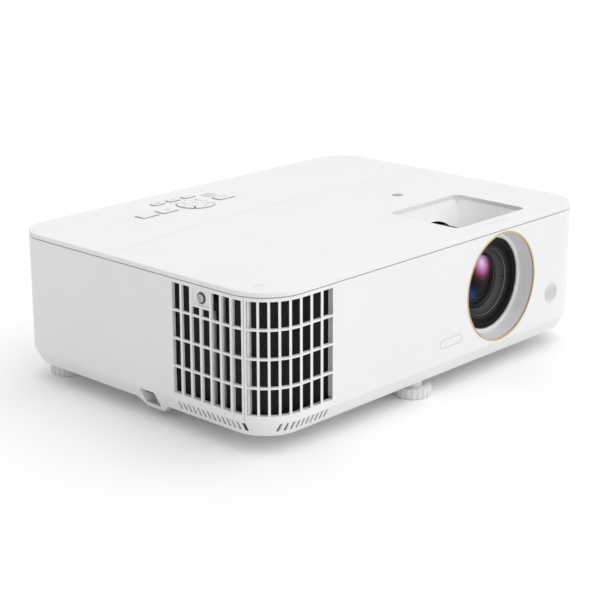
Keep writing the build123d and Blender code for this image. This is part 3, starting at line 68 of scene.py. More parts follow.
def addNode(tree, kind, fields=None, sockets=None):
    node = tree.nodes.new(kind)
    for field, value in (fields or {}).items():
        setattr(node, field, value)
    for socket, value in (sockets or {}).items():
        node.inputs[socket].default_value = value
    return node


def startMaterial(name):
    looks[name] = bpy.data.materials.new(name)
    looks[name].use_nodes = True
    tree = looks[name].node_tree
    place = addNode(tree, "ShaderNodeTexCoord").outputs["Object"]
    return tree, tree.nodes["Principled BSDF"], place


def setSockets(shader, values):
    for socket, value in values.items():
        shader.inputs[socket].default_value = value


def addNoise(tree, place, scale, detail=2.0, stretch=(1, 1, 1)):
    mapping = addNode(tree, "ShaderNodeMapping", None, {"Scale": stretch})
    noise = addNode(tree, "ShaderNodeTexNoise", None, {"Scale": scale, "Detail": detail})
    tree.links.new(place, mapping.inputs["Vector"])
    tree.links.new(mapping.outputs["Vector"], noise.inputs["Vector"])
    return noise.outputs["Fac"]


def addRange(tree, value, low, high, start=noiseSpread[0], stop=noiseSpread[1]):
    ranger = addNode(tree, "ShaderNodeMapRange", None,
                     {"From Min": start, "From Max": stop, "To Min": low, "To Max": high})
    tree.links.new(value, ranger.inputs["Value"])
    return ranger.outputs["Result"]


def addRamp(tree, value, stops, interpolation="LINEAR"):
    ramp = addNode(tree, "ShaderNodeValToRGB")
    band = ramp.color_ramp
    band.interpolation = interpolation
    while len(band.elements) < len(stops):
        band.elements.new(1.0)
    for element, (spot, color) in zip(band.elements, stops):
        element.position = spot
        element.color = (*color, 1)
    tree.links.new(value, ramp.inputs["Fac"])
    return ramp.outputs["Color"]


# two numbers or outputs, in any mix
def addMath(tree, operation, first, second):
    node = addNode(tree, "ShaderNodeMath", {"operation": operation})
    for socket, value in zip(node.inputs, (first, second)):
        if isinstance(value, float):
            socket.default_value = value
        else:
            tree.links.new(value, socket)
    return node.outputs["Value"]


def addBump(tree, shader, value, distance, strength=1.0):
    bump = addNode(tree, "ShaderNodeBump", None, {"Distance": distance, "Strength": strength})
    tree.links.new(value, bump.inputs["Height"])
    tree.links.new(bump.outputs["Normal"], shader.inputs["Normal"])


# sockets 6 and 7 of a Mix node are its two colours
def mixColors(tree, amount, first, second, blend="MIX"):
    mix = addNode(tree, "ShaderNodeMix", {"data_type": "RGBA", "blend_type": blend})
    if amount is None:
        mix.inputs[0].default_value = 1.0
    else:
        tree.links.new(amount, mix.inputs[0])
    tree.links.new(first, mix.inputs[6])
    tree.links.new(second, mix.inputs[7])
    return mix.outputs[2]


def twoShades(tree, value, shade, color):
    return addRamp(tree, value, list(zip(noiseSpread, (shade, color))))


def setRoughness(tree, shader, value, span):
    tree.links.new(addRange(tree, value, *span), shader.inputs["Roughness"])


# colour and roughness led by one noise
def paintSurface(tree, shader, value, values):
    tint = twoShades(tree, value, values["shade"], values["color"])
    tree.links.new(tint, shader.inputs["Base Color"])
    setRoughness(tree, shader, value, values["roughness"])


def grey(level):
    return (level, level, level)


# 0 before start and 1 past stop, along one axis of the piece
def axisMask(axis, start, stop):
    def mask(tree, place):
        parts = addNode(tree, "ShaderNodeSeparateXYZ")
        tree.links.new(place, parts.inputs["Vector"])
        return addRange(tree, parts.outputs[axis], 0.0, 1.0, start, stop)
    return mask


# distance from a line through middle, with keep 0 along the line
def reachFrom(tree, place, middle, keep):
    centred = addNode(tree, "ShaderNodeMapping", None, {"Location": [-value for value in middle]})
    flat = addNode(tree, "ShaderNodeVectorMath", {"operation": "MULTIPLY"})
    flat.inputs[1].default_value = keep
    reach = addNode(tree, "ShaderNodeVectorMath", {"operation": "LENGTH"})
    tree.links.new(place, centred.inputs["Vector"])
    tree.links.new(centred.outputs["Vector"], flat.inputs[0])
    tree.links.new(flat.outputs["Vector"], reach.inputs[0])
    return reach.outputs["Value"]


def ringMask(middle, keep, start, stop):
    def mask(tree, place):
        return addRange(tree, reachFrom(tree, place, middle, keep), 0.0, 1.0, start, stop)
    return mask


# moulded or rolled finish: two close colours, a roughness range and a fine grain
def mouldedFinish(name, values, where=None):
    tree, shader, place = startMaterial(name)
    stretch = values.get("stretch", (1, 1, 1))
    cloud = addNoise(tree, place, values["cloud"], 4.0, stretch)
    tint = twoShades(tree, cloud, values["shade"], values["color"])
    if where:
        second = twoShades(tree, cloud, values["otherShade"], values["other"])
        tint = mixColors(tree, where(tree, place), tint, second)
    tree.links.new(tint, shader.inputs["Base Color"])
    grain = addNoise(tree, place, values["grain"], 2.0, stretch)
    setRoughness(tree, shader, grain, values["roughness"])
    addBump(tree, shader, grain, values["depth"])
    setSockets(shader, {"Metallic": values.get("metallic", 0.0),
                        "Specular IOR Level": values.get("specular", 0.5)})


# cloud and grain are noise scales, depth is the grain's in metres, other is a second tone
finishes = {
    "case_plastic": {
        "color": (0.865, 0.865, 0.862), "shade": (0.845, 0.847, 0.846),
        "cloud": 18, "grain": 2400, "roughness": (0.42, 0.56), "depth": 0.000012, "specular": 0.35},
    # the keys' darker other tone is painted shade on their sides, where the gaps round the keys fall dark
    "key_plastic": {
        "color": (0.86, 0.86, 0.857), "shade": (0.835, 0.837, 0.836),
        "other": (0.36, 0.36, 0.37), "otherShade": (0.31, 0.31, 0.32),
        "cloud": 60, "grain": 3200, "roughness": (0.46, 0.58), "depth": 0.000008, "specular": 0.35},
    "funnel_plastic": {
        "color": (0.785, 0.775, 0.79), "shade": (0.725, 0.715, 0.73),
        "other": (0.86, 0.855, 0.87), "otherShade": (0.82, 0.815, 0.83),
        "cloud": 90, "grain": 2600, "roughness": (0.4, 0.55), "depth": 0.000012},
    "lens_black": {
        "color": (0.007, 0.007, 0.008), "shade": (0.004, 0.004, 0.005),
        "cloud": 120, "grain": 3000, "roughness": (0.42, 0.58), "depth": 0.000012, "specular": 0.12},
    "foot_plastic": {
        "color": (0.85, 0.85, 0.845), "shade": (0.81, 0.81, 0.806),
        "cloud": 70, "grain": 2400, "roughness": (0.4, 0.55), "depth": 0.000014},
    "pad_rubber": {
        "color": (0.055, 0.055, 0.056), "shade": (0.035, 0.035, 0.036),
        "cloud": 150, "grain": 1500, "roughness": (0.75, 0.92), "depth": 0.00004},
    "screw_steel": {
        "color": (0.66, 0.66, 0.655), "shade": (0.52, 0.52, 0.52),
        "cloud": 400, "grain": 2600, "roughness": (0.22, 0.36), "depth": 0.000008, "metallic": 1.0},
    "insert_brass": {
        "color": (0.72, 0.53, 0.26), "shade": (0.60, 0.43, 0.20),
        "cloud": 300, "grain": 2200, "roughness": (0.24, 0.4), "depth": 0.00001, "metallic": 1.0},
    "fan_plastic": {
        "color": (0.020, 0.020, 0.021), "shade": (0.013, 0.013, 0.014),
        "cloud": 80, "grain": 2200, "roughness": (0.5, 0.65), "depth": 0.00002},
    "lamp_plastic": {
        "color": (0.06, 0.06, 0.064), "shade": (0.04, 0.04, 0.043),
        "cloud": 70, "grain": 1800, "roughness": (0.55, 0.7), "depth": 0.00003},
    "engine_casting": {
        "color": (0.46, 0.47, 0.48), "shade": (0.36, 0.37, 0.38),
        "cloud": 120, "grain": 900, "roughness": (0.45, 0.65), "depth": 0.00008, "metallic": 1.0},
    "port_metal": {
        "color": (0.66, 0.655, 0.64), "shade": (0.56, 0.555, 0.545), "stretch": (1, 1, 6),
        "cloud": 200, "grain": 2600, "roughness": (0.26, 0.4), "depth": 0.000006, "metallic": 1.0},
    "port_plastic": {
        "color": (0.028, 0.028, 0.03), "shade": (0.018, 0.018, 0.019),
        "cloud": 120, "grain": 2400, "roughness": (0.4, 0.56), "depth": 0.00001},
    # finishes of single pieces
    # the well's paler other tone is painted light: paler towards the well's right end than in its shaded
    # rest
    "well_plastic_painted_light": {
        "color": (0.835, 0.835, 0.832), "shade": (0.815, 0.817, 0.816),
        "other": (0.955, 0.955, 0.952), "otherShade": (0.94, 0.942, 0.941),
        "cloud": 18, "grain": 2400, "roughness": (0.42, 0.56), "depth": 0.000012, "specular": 0.35},
    # painted shade and light for the sheet behind the grilles: dark all over, paler at the rear where less
    # light reaches
    "screen_painted_shade_and_light": {
        "color": (0.020, 0.020, 0.021), "shade": (0.016, 0.016, 0.017),
        "other": (0.085, 0.085, 0.087), "otherShade": (0.07, 0.07, 0.072),
        "cloud": 80, "grain": 2200, "roughness": (0.6, 0.75), "depth": 0.00002, "specular": 0.2},
    "power_cap": {
        "color": (0.70, 0.70, 0.705), "shade": (0.66, 0.66, 0.665),
        "cloud": 120, "grain": 3200, "roughness": (0.4, 0.52), "depth": 0.000008},
    # the screw's dark other tone, round the rim of its head, is painted shade of the recess it sits in
    "cover_screw": {
        "color": (0.60, 0.60, 0.60), "shade": (0.46, 0.46, 0.465),
        "other": (0.085, 0.085, 0.09), "otherShade": (0.06, 0.06, 0.065),
        "cloud": 600, "grain": 3000, "roughness": (0.24, 0.38), "depth": 0.000006, "metallic": 0.85},
    "printed_grey": {
        "color": (0.50, 0.50, 0.51), "shade": (0.45, 0.45, 0.46),
        "cloud": 300, "grain": 3000, "roughness": (0.5, 0.62), "depth": 0.000004},
    "badge_rim": {
        "color": (0.66, 0.66, 0.66), "shade": (0.62, 0.62, 0.62),
        "cloud": 200, "grain": 2800, "roughness": (0.45, 0.56), "depth": 0.000006},
    "crease_shade": {
        "color": (0.755, 0.755, 0.753), "shade": (0.73, 0.731, 0.73),
        "cloud": 30, "grain": 2400, "roughness": (0.45, 0.56), "depth": 0.000008},
    "filter_paper": {
        "color": (0.075, 0.076, 0.08), "shade": (0.055, 0.056, 0.06),
        "cloud": 260, "grain": 1900, "roughness": (0.8, 0.95), "depth": 0.00004, "specular": 0.15},
    "duct_grey": {
        "color": (0.33, 0.33, 0.335), "shade": (0.27, 0.27, 0.275),
        "cloud": 70, "grain": 1800, "roughness": (0.5, 0.62), "depth": 0.00001},
}
finishes["plain_key"] = finishes["key_plastic"]  # one tone all over

# where the two-tone pieces change, in metres
toneEdges = {
    "keySidePaintedShade": (0.00025, 0.0005),       # below the key's top
    "funnelFloor": (0.0096, 0.0098),    # behind the front
    "screenRearPaintedLight": (-0.0385, -0.0340),   # along Y
    "wellPaintedLight": (0.026, 0.008),          # left of the well's right wall
    "screwRimPaintedShade": (0.00240, 0.00248),  # out from the screw's axis
}
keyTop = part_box("menu_key")[1].z
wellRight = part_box("lens_well")[1].x
secondTone = {
    # keys: painted shade on the sides below the top
    "key_plastic": axisMask("Z", *[keyTop - drop for drop in toneEdges["keySidePaintedShade"]]),
    "funnel_plastic": axisMask("Y", *[frontFace + depth for depth in toneEdges["funnelFloor"]]),
    # sheet behind the grilles: painted light at its rear end
    "screen_painted_shade_and_light": axisMask("Y", *toneEdges["screenRearPaintedLight"]),
    # well: painted light towards its right end
    "well_plastic_painted_light": axisMask("X", *[wellRight - inset for inset in toneEdges["wellPaintedLight"]]),
    # screw: painted shade round the rim of its head
    "cover_screw": ringMask(middleOf("lamp_cover_screw"), (0, 1, 1), *toneEdges["screwRimPaintedShade"]),
}
for name, values in finishes.items():
    mouldedFinish(name, values, secondTone.get(name))

# gold ring: painted and turned, fine lines run round the lens axis
goldTrim = {"color": (0.63, 0.49, 0.285), "shade": (0.55, 0.42, 0.23), "roughness": (0.34, 0.48),
            "lines": 5200, "metallic": 0.4}
tree, shader, place = startMaterial("gold_trim")
lines = addNode(tree, "ShaderNodeTexNoise", {"noise_dimensions": "1D"},
                {"Scale": goldTrim["lines"], "Detail": 1.0})
tree.links.new(reachFrom(tree, place, lensMiddle, aboutLens), lines.inputs["W"])
paintSurface(tree, shader, lines.outputs["Fac"], goldTrim)
setSockets(shader, {"Metallic": goldTrim["metallic"]})

# inner glass: clear with a faint violet coat
lensGlass = {"color": (0.93, 0.88, 0.97), "shade": (0.86, 0.80, 0.94), "roughness": (0.0, 0.03),
             "film": 60, "coat": (0.75, 0.55, 1.0, 1), "bend": 1.5}
tree, shader, place = startMaterial("coated_glass")
paintSurface(tree, shader, addNoise(tree, place, lensGlass["film"]), lensGlass)
setSockets(shader, {"Transmission Weight": 1.0, "IOR": lensGlass["bend"],
                    "Specular Tint": lensGlass["coat"]})

# lens cell: black, with painted highlights on the edges of its rings and painted shading that darkens
# outwards, as (radius in millimetres, tone)
cellPaintedRings = {"reach": 24.0, "blueShare": 1.03, "grain": 3000, "depth": 0.00001,
             "roughness": (0.36, 0.5), "specular": 0.3,
             "lines": [(16.5, 0.004), (16.7, 0.11), (16.95, 0.006), (17.4, 0.05), (17.6, 0.006),
                       (18.4, 0.004), (18.62, 0.014), (18.8, 0.085), (20.5, 0.060), (21.9, 0.022),
                       (22.1, 0.012), (22.3, 0.24), (22.55, 0.012), (23.0, 0.010)]}
tree, shader, place = startMaterial("cell_painted_highlights")
reach = reachFrom(tree, place, lensMiddle, aboutLens)
spread = addRange(tree, reach, 0.0, 1.0, 0.0, cellPaintedRings["reach"] * millimetre)
stops = [(spot / cellPaintedRings["reach"], (tone, tone, tone * cellPaintedRings["blueShare"]))
         for spot, tone in cellPaintedRings["lines"]]
tree.links.new(addRamp(tree, spread, stops), shader.inputs["Base Color"])
grain = addNoise(tree, place, cellPaintedRings["grain"])
setRoughness(tree, shader, grain, cellPaintedRings["roughness"])
addBump(tree, shader, grain, cellPaintedRings["depth"])
setSockets(shader, {"Specular IOR Level": cellPaintedRings["specular"]})

# front glass: dark, with painted reflections: the rose and blue glow of its coats and faint highlight
# rings, placed from the lens axis
frontCoat = {"film": 400, "roughness": (0.05, 0.09), "specular": 0.08}
paintedCoatReflections = {
    "rose": {"across": 0.0012, "up": 0.0124, "reach": 0.0145,
             "stops": [(0.0, grey(0.0)), (0.2, (0.028, 0.005, 0.011)), (0.4, (0.17, 0.028, 0.075)),
                       (0.6, (0.46, 0.16, 0.38)), (0.8, (0.74, 0.40, 0.72)), (1.0, (0.95, 0.76, 0.95))]},
    "blue": {"across": -0.0108, "up": -0.0082, "reach": 0.0088,
             "stops": [(0.0, grey(0.0)), (0.35, (0.003, 0.008, 0.035)), (1.0, (0.018, 0.05, 0.19))]},
    "rings": {"across": 0.0, "up": 0.0, "reach": 0.0184,
              "stops": [(0.0, grey(0.014)), (0.10, grey(0.007)), (0.13, grey(0.040)), (0.16, grey(0.006)),
                        (0.21, grey(0.006)), (0.235, grey(0.045)), (0.26, grey(0.006)),
                        (0.34, grey(0.004)), (0.37, grey(0.026)), (0.42, grey(0.004))]},
}
tree, shader, place = startMaterial("front_painted_reflections")
paintedGlow = None
for values in paintedCoatReflections.values():
    middle = lensMiddle + Vector((values["across"], 0, values["up"]))
    amount = addRange(tree, reachFrom(tree, place, middle, aboutLens), 1.0, 0.0, 0.0, values["reach"])
    color = addRamp(tree, amount, values["stops"])
    paintedGlow = color if paintedGlow is None else mixColors(tree, None, paintedGlow, color, "ADD")
tree.links.new(paintedGlow, shader.inputs["Base Color"])
setRoughness(tree, shader, addNoise(tree, place, frontCoat["film"]), frontCoat["roughness"])
setSockets(shader, {"Specular IOR Level": frontCoat["specular"]})

# small windows and light pipes, a little milky
milkyPlastic = {"cloud": 240, "weight": 0.15, "radius": (0.001, 0.001, 0.001), "scale": 0.5}
windowPlastic = {
    "infrared_window": {
        "color": (0.86, 0.865, 0.87), "shade": (0.81, 0.815, 0.82), "roughness": (0.12, 0.22),
        "dome": [(0.0, grey(0.70)), (0.05, grey(0.74)), (0.10, grey(0.92)), (0.18, grey(0.84)),
                 (0.32, grey(0.71)), (0.62, grey(0.72)), (0.82, grey(0.86)), (1.0, grey(0.94))]},
    "top_window": {
        "color": (0.29, 0.295, 0.305), "shade": (0.255, 0.26, 0.27), "roughness": (0.16, 0.26)},
    "light_guide": {
        "color": grey(0.70), "shade": grey(0.62), "roughness": (0.25, 0.4)},
}
windowLow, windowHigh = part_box("front_ir_window")
for name, values in windowPlastic.items():
    tree, shader, place = startMaterial(name)
    cloud = addNoise(tree, place, milkyPlastic["cloud"])
    tint = twoShades(tree, cloud, values["shade"], values["color"])
    # painted shade and highlights of the window's dome, by height
    if "dome" in values:  # shaded by height, palest near its foot and its top
        height = axisMask("Z", windowLow.z, windowHigh.z)(tree, place)
        tint = mixColors(tree, None, tint, addRamp(tree, height, values["dome"]), "MULTIPLY")
    tree.links.new(tint, shader.inputs["Base Color"])
    setRoughness(tree, shader, cloud, values["roughness"])
    setSockets(shader, {"Subsurface Weight": milkyPlastic["weight"],
                        "Subsurface Radius": milkyPlastic["radius"],
                        "Subsurface Scale": milkyPlastic["scale"]})

# mirror of the lamp
lampMirror = {"color": (0.80, 0.82, 0.86), "shade": (0.70, 0.74, 0.82), "roughness": (0.04, 0.12),
              "cloud": 120}
tree, shader, place = startMaterial("reflector_mirror")
paintSurface(tree, shader, addNoise(tree, place, lampMirror["cloud"], 3.0), lampMirror)
setSockets(shader, {"Metallic": 1.0})

# colour wheel: four filters round its axis, which runs along X
filterGlass = {"segments": [(0.0, (0.70, 0.08, 0.06)), (0.25, (0.10, 0.55, 0.16)),
                            (0.5, (0.08, 0.16, 0.70)), (0.75, (0.80, 0.80, 0.78))],
               "roughness": 0.08, "coat": 0.4}
wheelMiddle = middleOf("colour_wheel")
tree, shader, place = startMaterial("filter_glass")
parts = addNode(tree, "ShaderNodeSeparateXYZ")
turned = addNode(tree, "ShaderNodeCombineXYZ")
centred = addNode(tree, "ShaderNodeMapping", None, {"Location": (-wheelMiddle.y, -wheelMiddle.z, 0)})
around = addNode(tree, "ShaderNodeTexGradient", {"gradient_type": "RADIAL"})
tree.links.new(place, parts.inputs["Vector"])
tree.links.new(parts.outputs["Y"], turned.inputs["X"])
tree.links.new(parts.outputs["Z"], turned.inputs["Y"])
tree.links.new(turned.outputs["Vector"], centred.inputs["Vector"])
tree.links.new(centred.outputs["Vector"], around.inputs["Vector"])
tree.links.new(addRamp(tree, around.outputs["Fac"], filterGlass["segments"], "CONSTANT"),
               shader.inputs["Base Color"])
setSockets(shader, {"Roughness": filterGlass["roughness"], "Coat Weight": filterGlass["coat"]})

# printed boards: rows of tracks between pale pads
boardGreen = {"mask": (0.012, 0.075, 0.035), "trace": (0.02, 0.13, 0.06), "pad": (0.55, 0.50, 0.38),
              "rows": 260, "gap": 0.018, "roughness": 0.38, "depth": 0.00003, "relief": 0.6}
tree, shader, place = startMaterial("circuit_board")
tracks = addNode(tree, "ShaderNodeTexBrick", None,
                 {"Color1": (*boardGreen["mask"], 1), "Color2": (*boardGreen["trace"], 1),
                  "Mortar": (*boardGreen["pad"], 1), "Scale": boardGreen["rows"],
                  "Mortar Size": boardGreen["gap"]})
tree.links.new(place, tracks.inputs["Vector"])
tree.links.new(tracks.outputs["Color"], shader.inputs["Base Color"])
addBump(tree, shader, tracks.outputs["Fac"], boardGreen["depth"], boardGreen["relief"])
setSockets(shader, {"Roughness": boardGreen["roughness"]})

# nodes whose finish isn't that of their slot
ownFinish = {"power_key": "power_cap", "ok_key": "plain_key", "focus_cell": "cell_painted_highlights",
             "lamp_cover_screw": "cover_screw", "top_ir_window": "top_window",
             "front_glass": "front_painted_reflections", "lens_well": "well_plastic_painted_light"}
for entry in frame["record"]["subparts"]:
    piece = nodes[entry["node"]]
    finish = looks[ownFinish.get(entry["node"], entry["material_slot"])]
    if not piece.data.materials:
        piece.data.materials.append(finish)
    for slot in piece.material_slots:
        slot.material = finish
print("finishes set:", len(looks))

# mesh helpers for the added pieces
weldGap = {"ribbon": 0.00001, "ring": 0.000002}


def newPiece(name, mesh, finish, body):
    data = bpy.data.meshes.new(name)
    mesh.to_mesh(data)
    mesh.free()
    data.materials.append(looks[finish])
    piece = bpy.data.objects.new(name, data)
    bpy.context.scene.collection.objects.link(piece)
    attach(piece, body)
    return piece


def kindOf(geometry, kind):
    return [item for item in geometry if isinstance(item, kind)]


# a ribbon drawn along runs and turns from a first edge
def ribbonAlong(start, moves):
    mesh = bmesh.new()
    edge = [mesh.edges.new([mesh.verts.new(point) for point in start])]
    for move in moves:
        if "run" in move:
            grown = bmesh.ops.extrude_edge_only(mesh, edges=edge)["geom"]
            bmesh.ops.translate(mesh, verts=kindOf(grown, bmesh.types.BMVert), vec=move["run"])
            edge = kindOf(grown, bmesh.types.BMEdge)[:1]
        else:
            turned = bmesh.ops.spin(mesh, geom=edge, cent=move["about"], axis=(0, 0, 1),
                                    angle=radians(move["turn"]), steps=move["steps"])
            edge = kindOf(turned["geom_last"], bmesh.types.BMEdge)
    bmesh.ops.remove_doubles(mesh, verts=mesh.verts, dist=weldGap["ribbon"])
    bmesh.ops.recalc_face_normals(mesh, faces=mesh.faces)
    return mesh


def addWall(piece, thickness, offset=0.0):
    wall = piece.modifiers.new("wall", "SOLIDIFY")
    wall.thickness = thickness
    wall.offset = offset


# a ring turned about the lens axis from (radius, depth) points in millimetres
def lensRing(points, steps=96):
    mesh = bmesh.new()
    spots = [mesh.verts.new((lensMiddle.x + r * millimetre, frontFace + depth * millimetre, lensMiddle.z))
             for r, depth in points]
    edges = [mesh.edges.new((spots[i], spots[(i + 1) % len(spots)])) for i in range(len(spots))]
    bmesh.ops.spin(mesh, geom=edges, cent=lensMiddle, axis=(0, 1, 0), angle=2 * pi, steps=steps,
                   use_merge=True)
    bmesh.ops.remove_doubles(mesh, verts=mesh.verts, dist=weldGap["ring"])
    bmesh.ops.recalc_face_normals(mesh, faces=mesh.faces)
    return mesh


# dark sheet behind the two grilles, painted shade for the dark inside them, with a paler rear end that is
# painted light
grilleShadeScreen = {"rear": -0.0265, "inset": 0.0070, "frontEnd": -0.0982, "low": 0.0152, "high": 0.0925,
                 "thickness": 0.0006, "steps": 14}
leftX = caseLow.x + grilleShadeScreen["inset"]
mesh = ribbonAlong([(leftX, grilleShadeScreen["rear"], grilleShadeScreen[level]) for level in ("low", "high")],
                   [{"run": (0, cornerY - grilleShadeScreen["rear"], 0)},
                    {"turn": 90, "about": (cornerX, cornerY, 0), "steps": grilleShadeScreen["steps"]},
                    {"run": (grilleShadeScreen["frontEnd"] - cornerX, 0, 0)}])
addWall(newPiece("grille_shade_screen", mesh, "screen_painted_shade_and_light", "case"), grilleShadeScreen["thickness"])

# duct ribs that show through the side grille, each from front to rear and up to its top
ductRibs = {"depth": (0.0048, 0.0063), "low": 0.0144, "round": 0.0004,
            "bars": [(-0.0665, -0.0638, 0.0800), (-0.0742, -0.0722, 0.0932)]}
mesh = bmesh.new()
for front, rear, top in ductRibs["bars"]:
    low = Vector((caseLow.x + ductRibs["depth"][0], front, ductRibs["low"]))
    high = Vector((caseLow.x + ductRibs["depth"][1], rear, top))
    bar = bmesh.ops.create_cube(mesh, size=1.0)["verts"]
    bmesh.ops.scale(mesh, verts=bar, vec=high - low)
    bmesh.ops.translate(mesh, verts=bar, vec=(low + high) / 2)
bmesh.ops.bevel(mesh, geom=mesh.edges[:], offset=ductRibs["round"], affect="EDGES", segments=2,
                profile=0.5, material=-1)
newPiece("duct_ribs", mesh, "duct_grey", "case")

# dark sheets close behind the slots of the lower slope, at the side and round the front corner: painted
# shade inside the slots
slotShadeSheet = {"slope": ((0.00475, 0.01415), (0.00185, 0.01930)),  # inset and height, low edge first
              "side": (-0.0928, -0.0373), "frontEnd": -0.1041, "turn": -33, "steps": 8,
              "thickness": 0.0003}
sideFront, sideRear = slotShadeSheet["side"]
sideMesh = ribbonAlong([(caseLow.x + inset, sideRear, level) for inset, level in slotShadeSheet["slope"]],
                       [{"run": (0, sideFront - sideRear, 0)}])
frontMesh = ribbonAlong([(slotShadeSheet["frontEnd"], frontFace + inset, level)
                         for inset, level in slotShadeSheet["slope"]],
                        [{"run": (cornerX - slotShadeSheet["frontEnd"], 0, 0)},
                         {"turn": slotShadeSheet["turn"], "about": (cornerX, cornerY, 0),
                          "steps": slotShadeSheet["steps"]}])
for name, mesh in (("side_slot_shade", sideMesh), ("front_slot_shade", frontMesh)):
    addWall(newPiece(name, mesh, "fan_plastic", "case"), slotShadeSheet["thickness"])

# pleated air filter behind the intake on the right
airFilter = {"from": (0.1531, -0.0225), "low": 0.0212, "high": 0.0923, "pleats": 38, "step": 0.00157,
             "fold": 0.0021, "thickness": 0.0003}
mesh = ribbonAlong([(*airFilter["from"], airFilter[level]) for level in ("low", "high")],
                   [{"run": (airFilter["fold"] * (1 if number % 2 else -1), airFilter["step"], 0)}
                    for number in range(airFilter["pleats"])])
addWall(newPiece("air_filter", mesh, "filter_paper", "case"), airFilter["thickness"])
print("screens behind the openings made")

# black seal that lines the arch of the well and closes on the barrel, its black painted shade for the deep
# shadow in the arch
archSealShade = {"profile": [(32.38, 58.25), (31.9, 58.25), (27.5, 62.6), (27.5, 63.1), (32.38, 61.6)]}
newPiece("arch_seal_shade", lensRing(archSealShade["profile"]), "lens_black", "case")

# bevelled seat of the gold ring
trimSeat = {"profile": [(36.32, -0.12), (36.5, -0.12), (37.0, 0.0), (37.0, 0.2), (36.32, 0.2)],
            "steps": 128}
newPiece("trim_seat", lensRing(trimSeat["profile"], trimSeat["steps"]), "case_plastic", "case")

# stepped retaining ring at the edge of the front glass
glassRing = {"profile": [(18.5, 18.7), (17.9, 18.35), (17.6, 18.75), (17.05, 18.5), (16.75, 18.9),
                         (16.6, 19.5), (18.5, 20.0)]}
newPiece("glass_ring", lensRing(glassRing["profile"]), "cell_painted_highlights", "focus_group")

# pin hole in the cone of the lens cell, square to the cone
pinHole = {"across": 0.0211, "up": -0.0009, "depth": 0.0154, "radius": 0.00078, "sunk": 0.0003, "lean": 36,
           "sides": 20, "taper": 0.8, "rim": 0.25, "dip": 0.5}
mesh = bmesh.new()
bmesh.ops.create_cone(mesh, cap_ends=True, segments=pinHole["sides"], radius1=pinHole["radius"],
                      radius2=pinHole["radius"] * pinHole["taper"], depth=pinHole["sunk"])
topFace = [max(mesh.faces, key=lambda face: face.normal.z)]
bmesh.ops.inset_region(mesh, faces=topFace, thickness=pinHole["radius"] * pinHole["rim"],
                       depth=-pinHole["sunk"] * pinHole["dip"])
lean = radians(pinHole["lean"])
facing = Vector((-cos(lean), -sin(lean), 0)).to_track_quat("Z", "X").to_matrix()
bmesh.ops.rotate(mesh, verts=mesh.verts, cent=(0, 0, 0), matrix=facing)
spot = (lensMiddle.x + pinHole["across"], frontFace + pinHole["depth"], lensMiddle.z + pinHole["up"])
bmesh.ops.translate(mesh, verts=mesh.verts, vec=spot)
newPiece("cell_pin_hole", mesh, "lens_black", "focus_group")
print("lens details made")

# thin darker ribbon across the lid along one wide arc: painted shade of a shallow crease
lidCrease = {"middle": 0.010, "crest": 0.0348, "radius": 0.900, "ends": (-0.1530, 0.1530), "width": 0.0008,
             "high": 0.00004, "steps": 48}
centre = Vector((lidCrease["middle"], lidCrease["crest"] - lidCrease["radius"], 0))
angles = [asin((end - centre.x) / lidCrease["radius"]) for end in lidCrease["ends"]]
outward = Vector((sin(angles[0]), cos(angles[0]), 0))
begin = [centre + outward * (lidCrease["radius"] + side * lidCrease["width"] / 2) for side in (-1, 1)]
mesh = ribbonAlong([(spot.x, spot.y, lidTop + lidCrease["high"]) for spot in begin],
                   [{"turn": degrees(angles[0] - angles[1]), "about": centre,
                     "steps": lidCrease["steps"]}])
addWall(newPiece("lid_crease", mesh, "crease_shade", "case"), lidCrease["high"] * 2, -1.0)

# bare pill badge on the front, only its raised rim
frontBadge = {"across": 0.0095, "up": 0.0326, "length": 0.0222, "height": 0.0057, "rim": 0.00045,
              "proud": 0.00018, "sides": 48}
mesh = bmesh.new()
radius = frontBadge["height"] / 2
slide = frontBadge["length"] / 2 - radius
outline = bmesh.ops.create_circle(mesh, cap_ends=True, segments=frontBadge["sides"], radius=radius)["verts"]
middleGap = radius * 0.001  # points nearer to the middle line stay on it
for side in (-1, 1):
    half = [v for v in outline if v.co.x * side > middleGap]
    bmesh.ops.translate(mesh, verts=half, vec=(side * slide, 0, 0))
plate = mesh.faces[:]
bmesh.ops.inset_region(mesh, faces=plate, thickness=frontBadge["rim"], use_boundary=True,
                       use_even_offset=True)
bmesh.ops.delete(mesh, geom=plate, context="FACES")
grown = bmesh.ops.extrude_face_region(mesh, geom=mesh.faces[:])["geom"]
bmesh.ops.translate(mesh, verts=kindOf(grown, bmesh.types.BMVert), vec=(0, 0, frontBadge["proud"] * 2))
bmesh.ops.recalc_face_normals(mesh, faces=mesh.faces)
bmesh.ops.rotate(mesh, verts=mesh.verts, cent=(0, 0, 0), matrix=Matrix.Rotation(radians(90), 3, "X"))
spot = (frontBadge["across"], frontFace + frontBadge["proud"], frontBadge["up"])
bmesh.ops.translate(mesh, verts=mesh.verts, vec=spot)
newPiece("front_badge", mesh, "badge_rim", "case")

# printed signs: bars, arrow heads and rings, given from the middle of the key in millimetres
signs = {"thick": 0.00006, "bar": 0.5, "steps": 28}


# turns a mark in its own middle and moves it to its place on the key
def placeMark(mesh, verts, x, y, turn):
    bmesh.ops.rotate(mesh, verts=verts, cent=(0, 0, 0), matrix=Matrix.Rotation(radians(turn), 3, "Z"))
    bmesh.ops.translate(mesh, verts=verts, vec=(x * millimetre, y * millimetre, 0))


def signBar(mesh, x, y, length, width=signs["bar"], turn=0):
    bar = bmesh.ops.create_cube(mesh, size=1.0)["verts"]
    bmesh.ops.scale(mesh, verts=bar, vec=(length * millimetre, width * millimetre, signs["thick"]))
    placeMark(mesh, bar, x, y, turn)


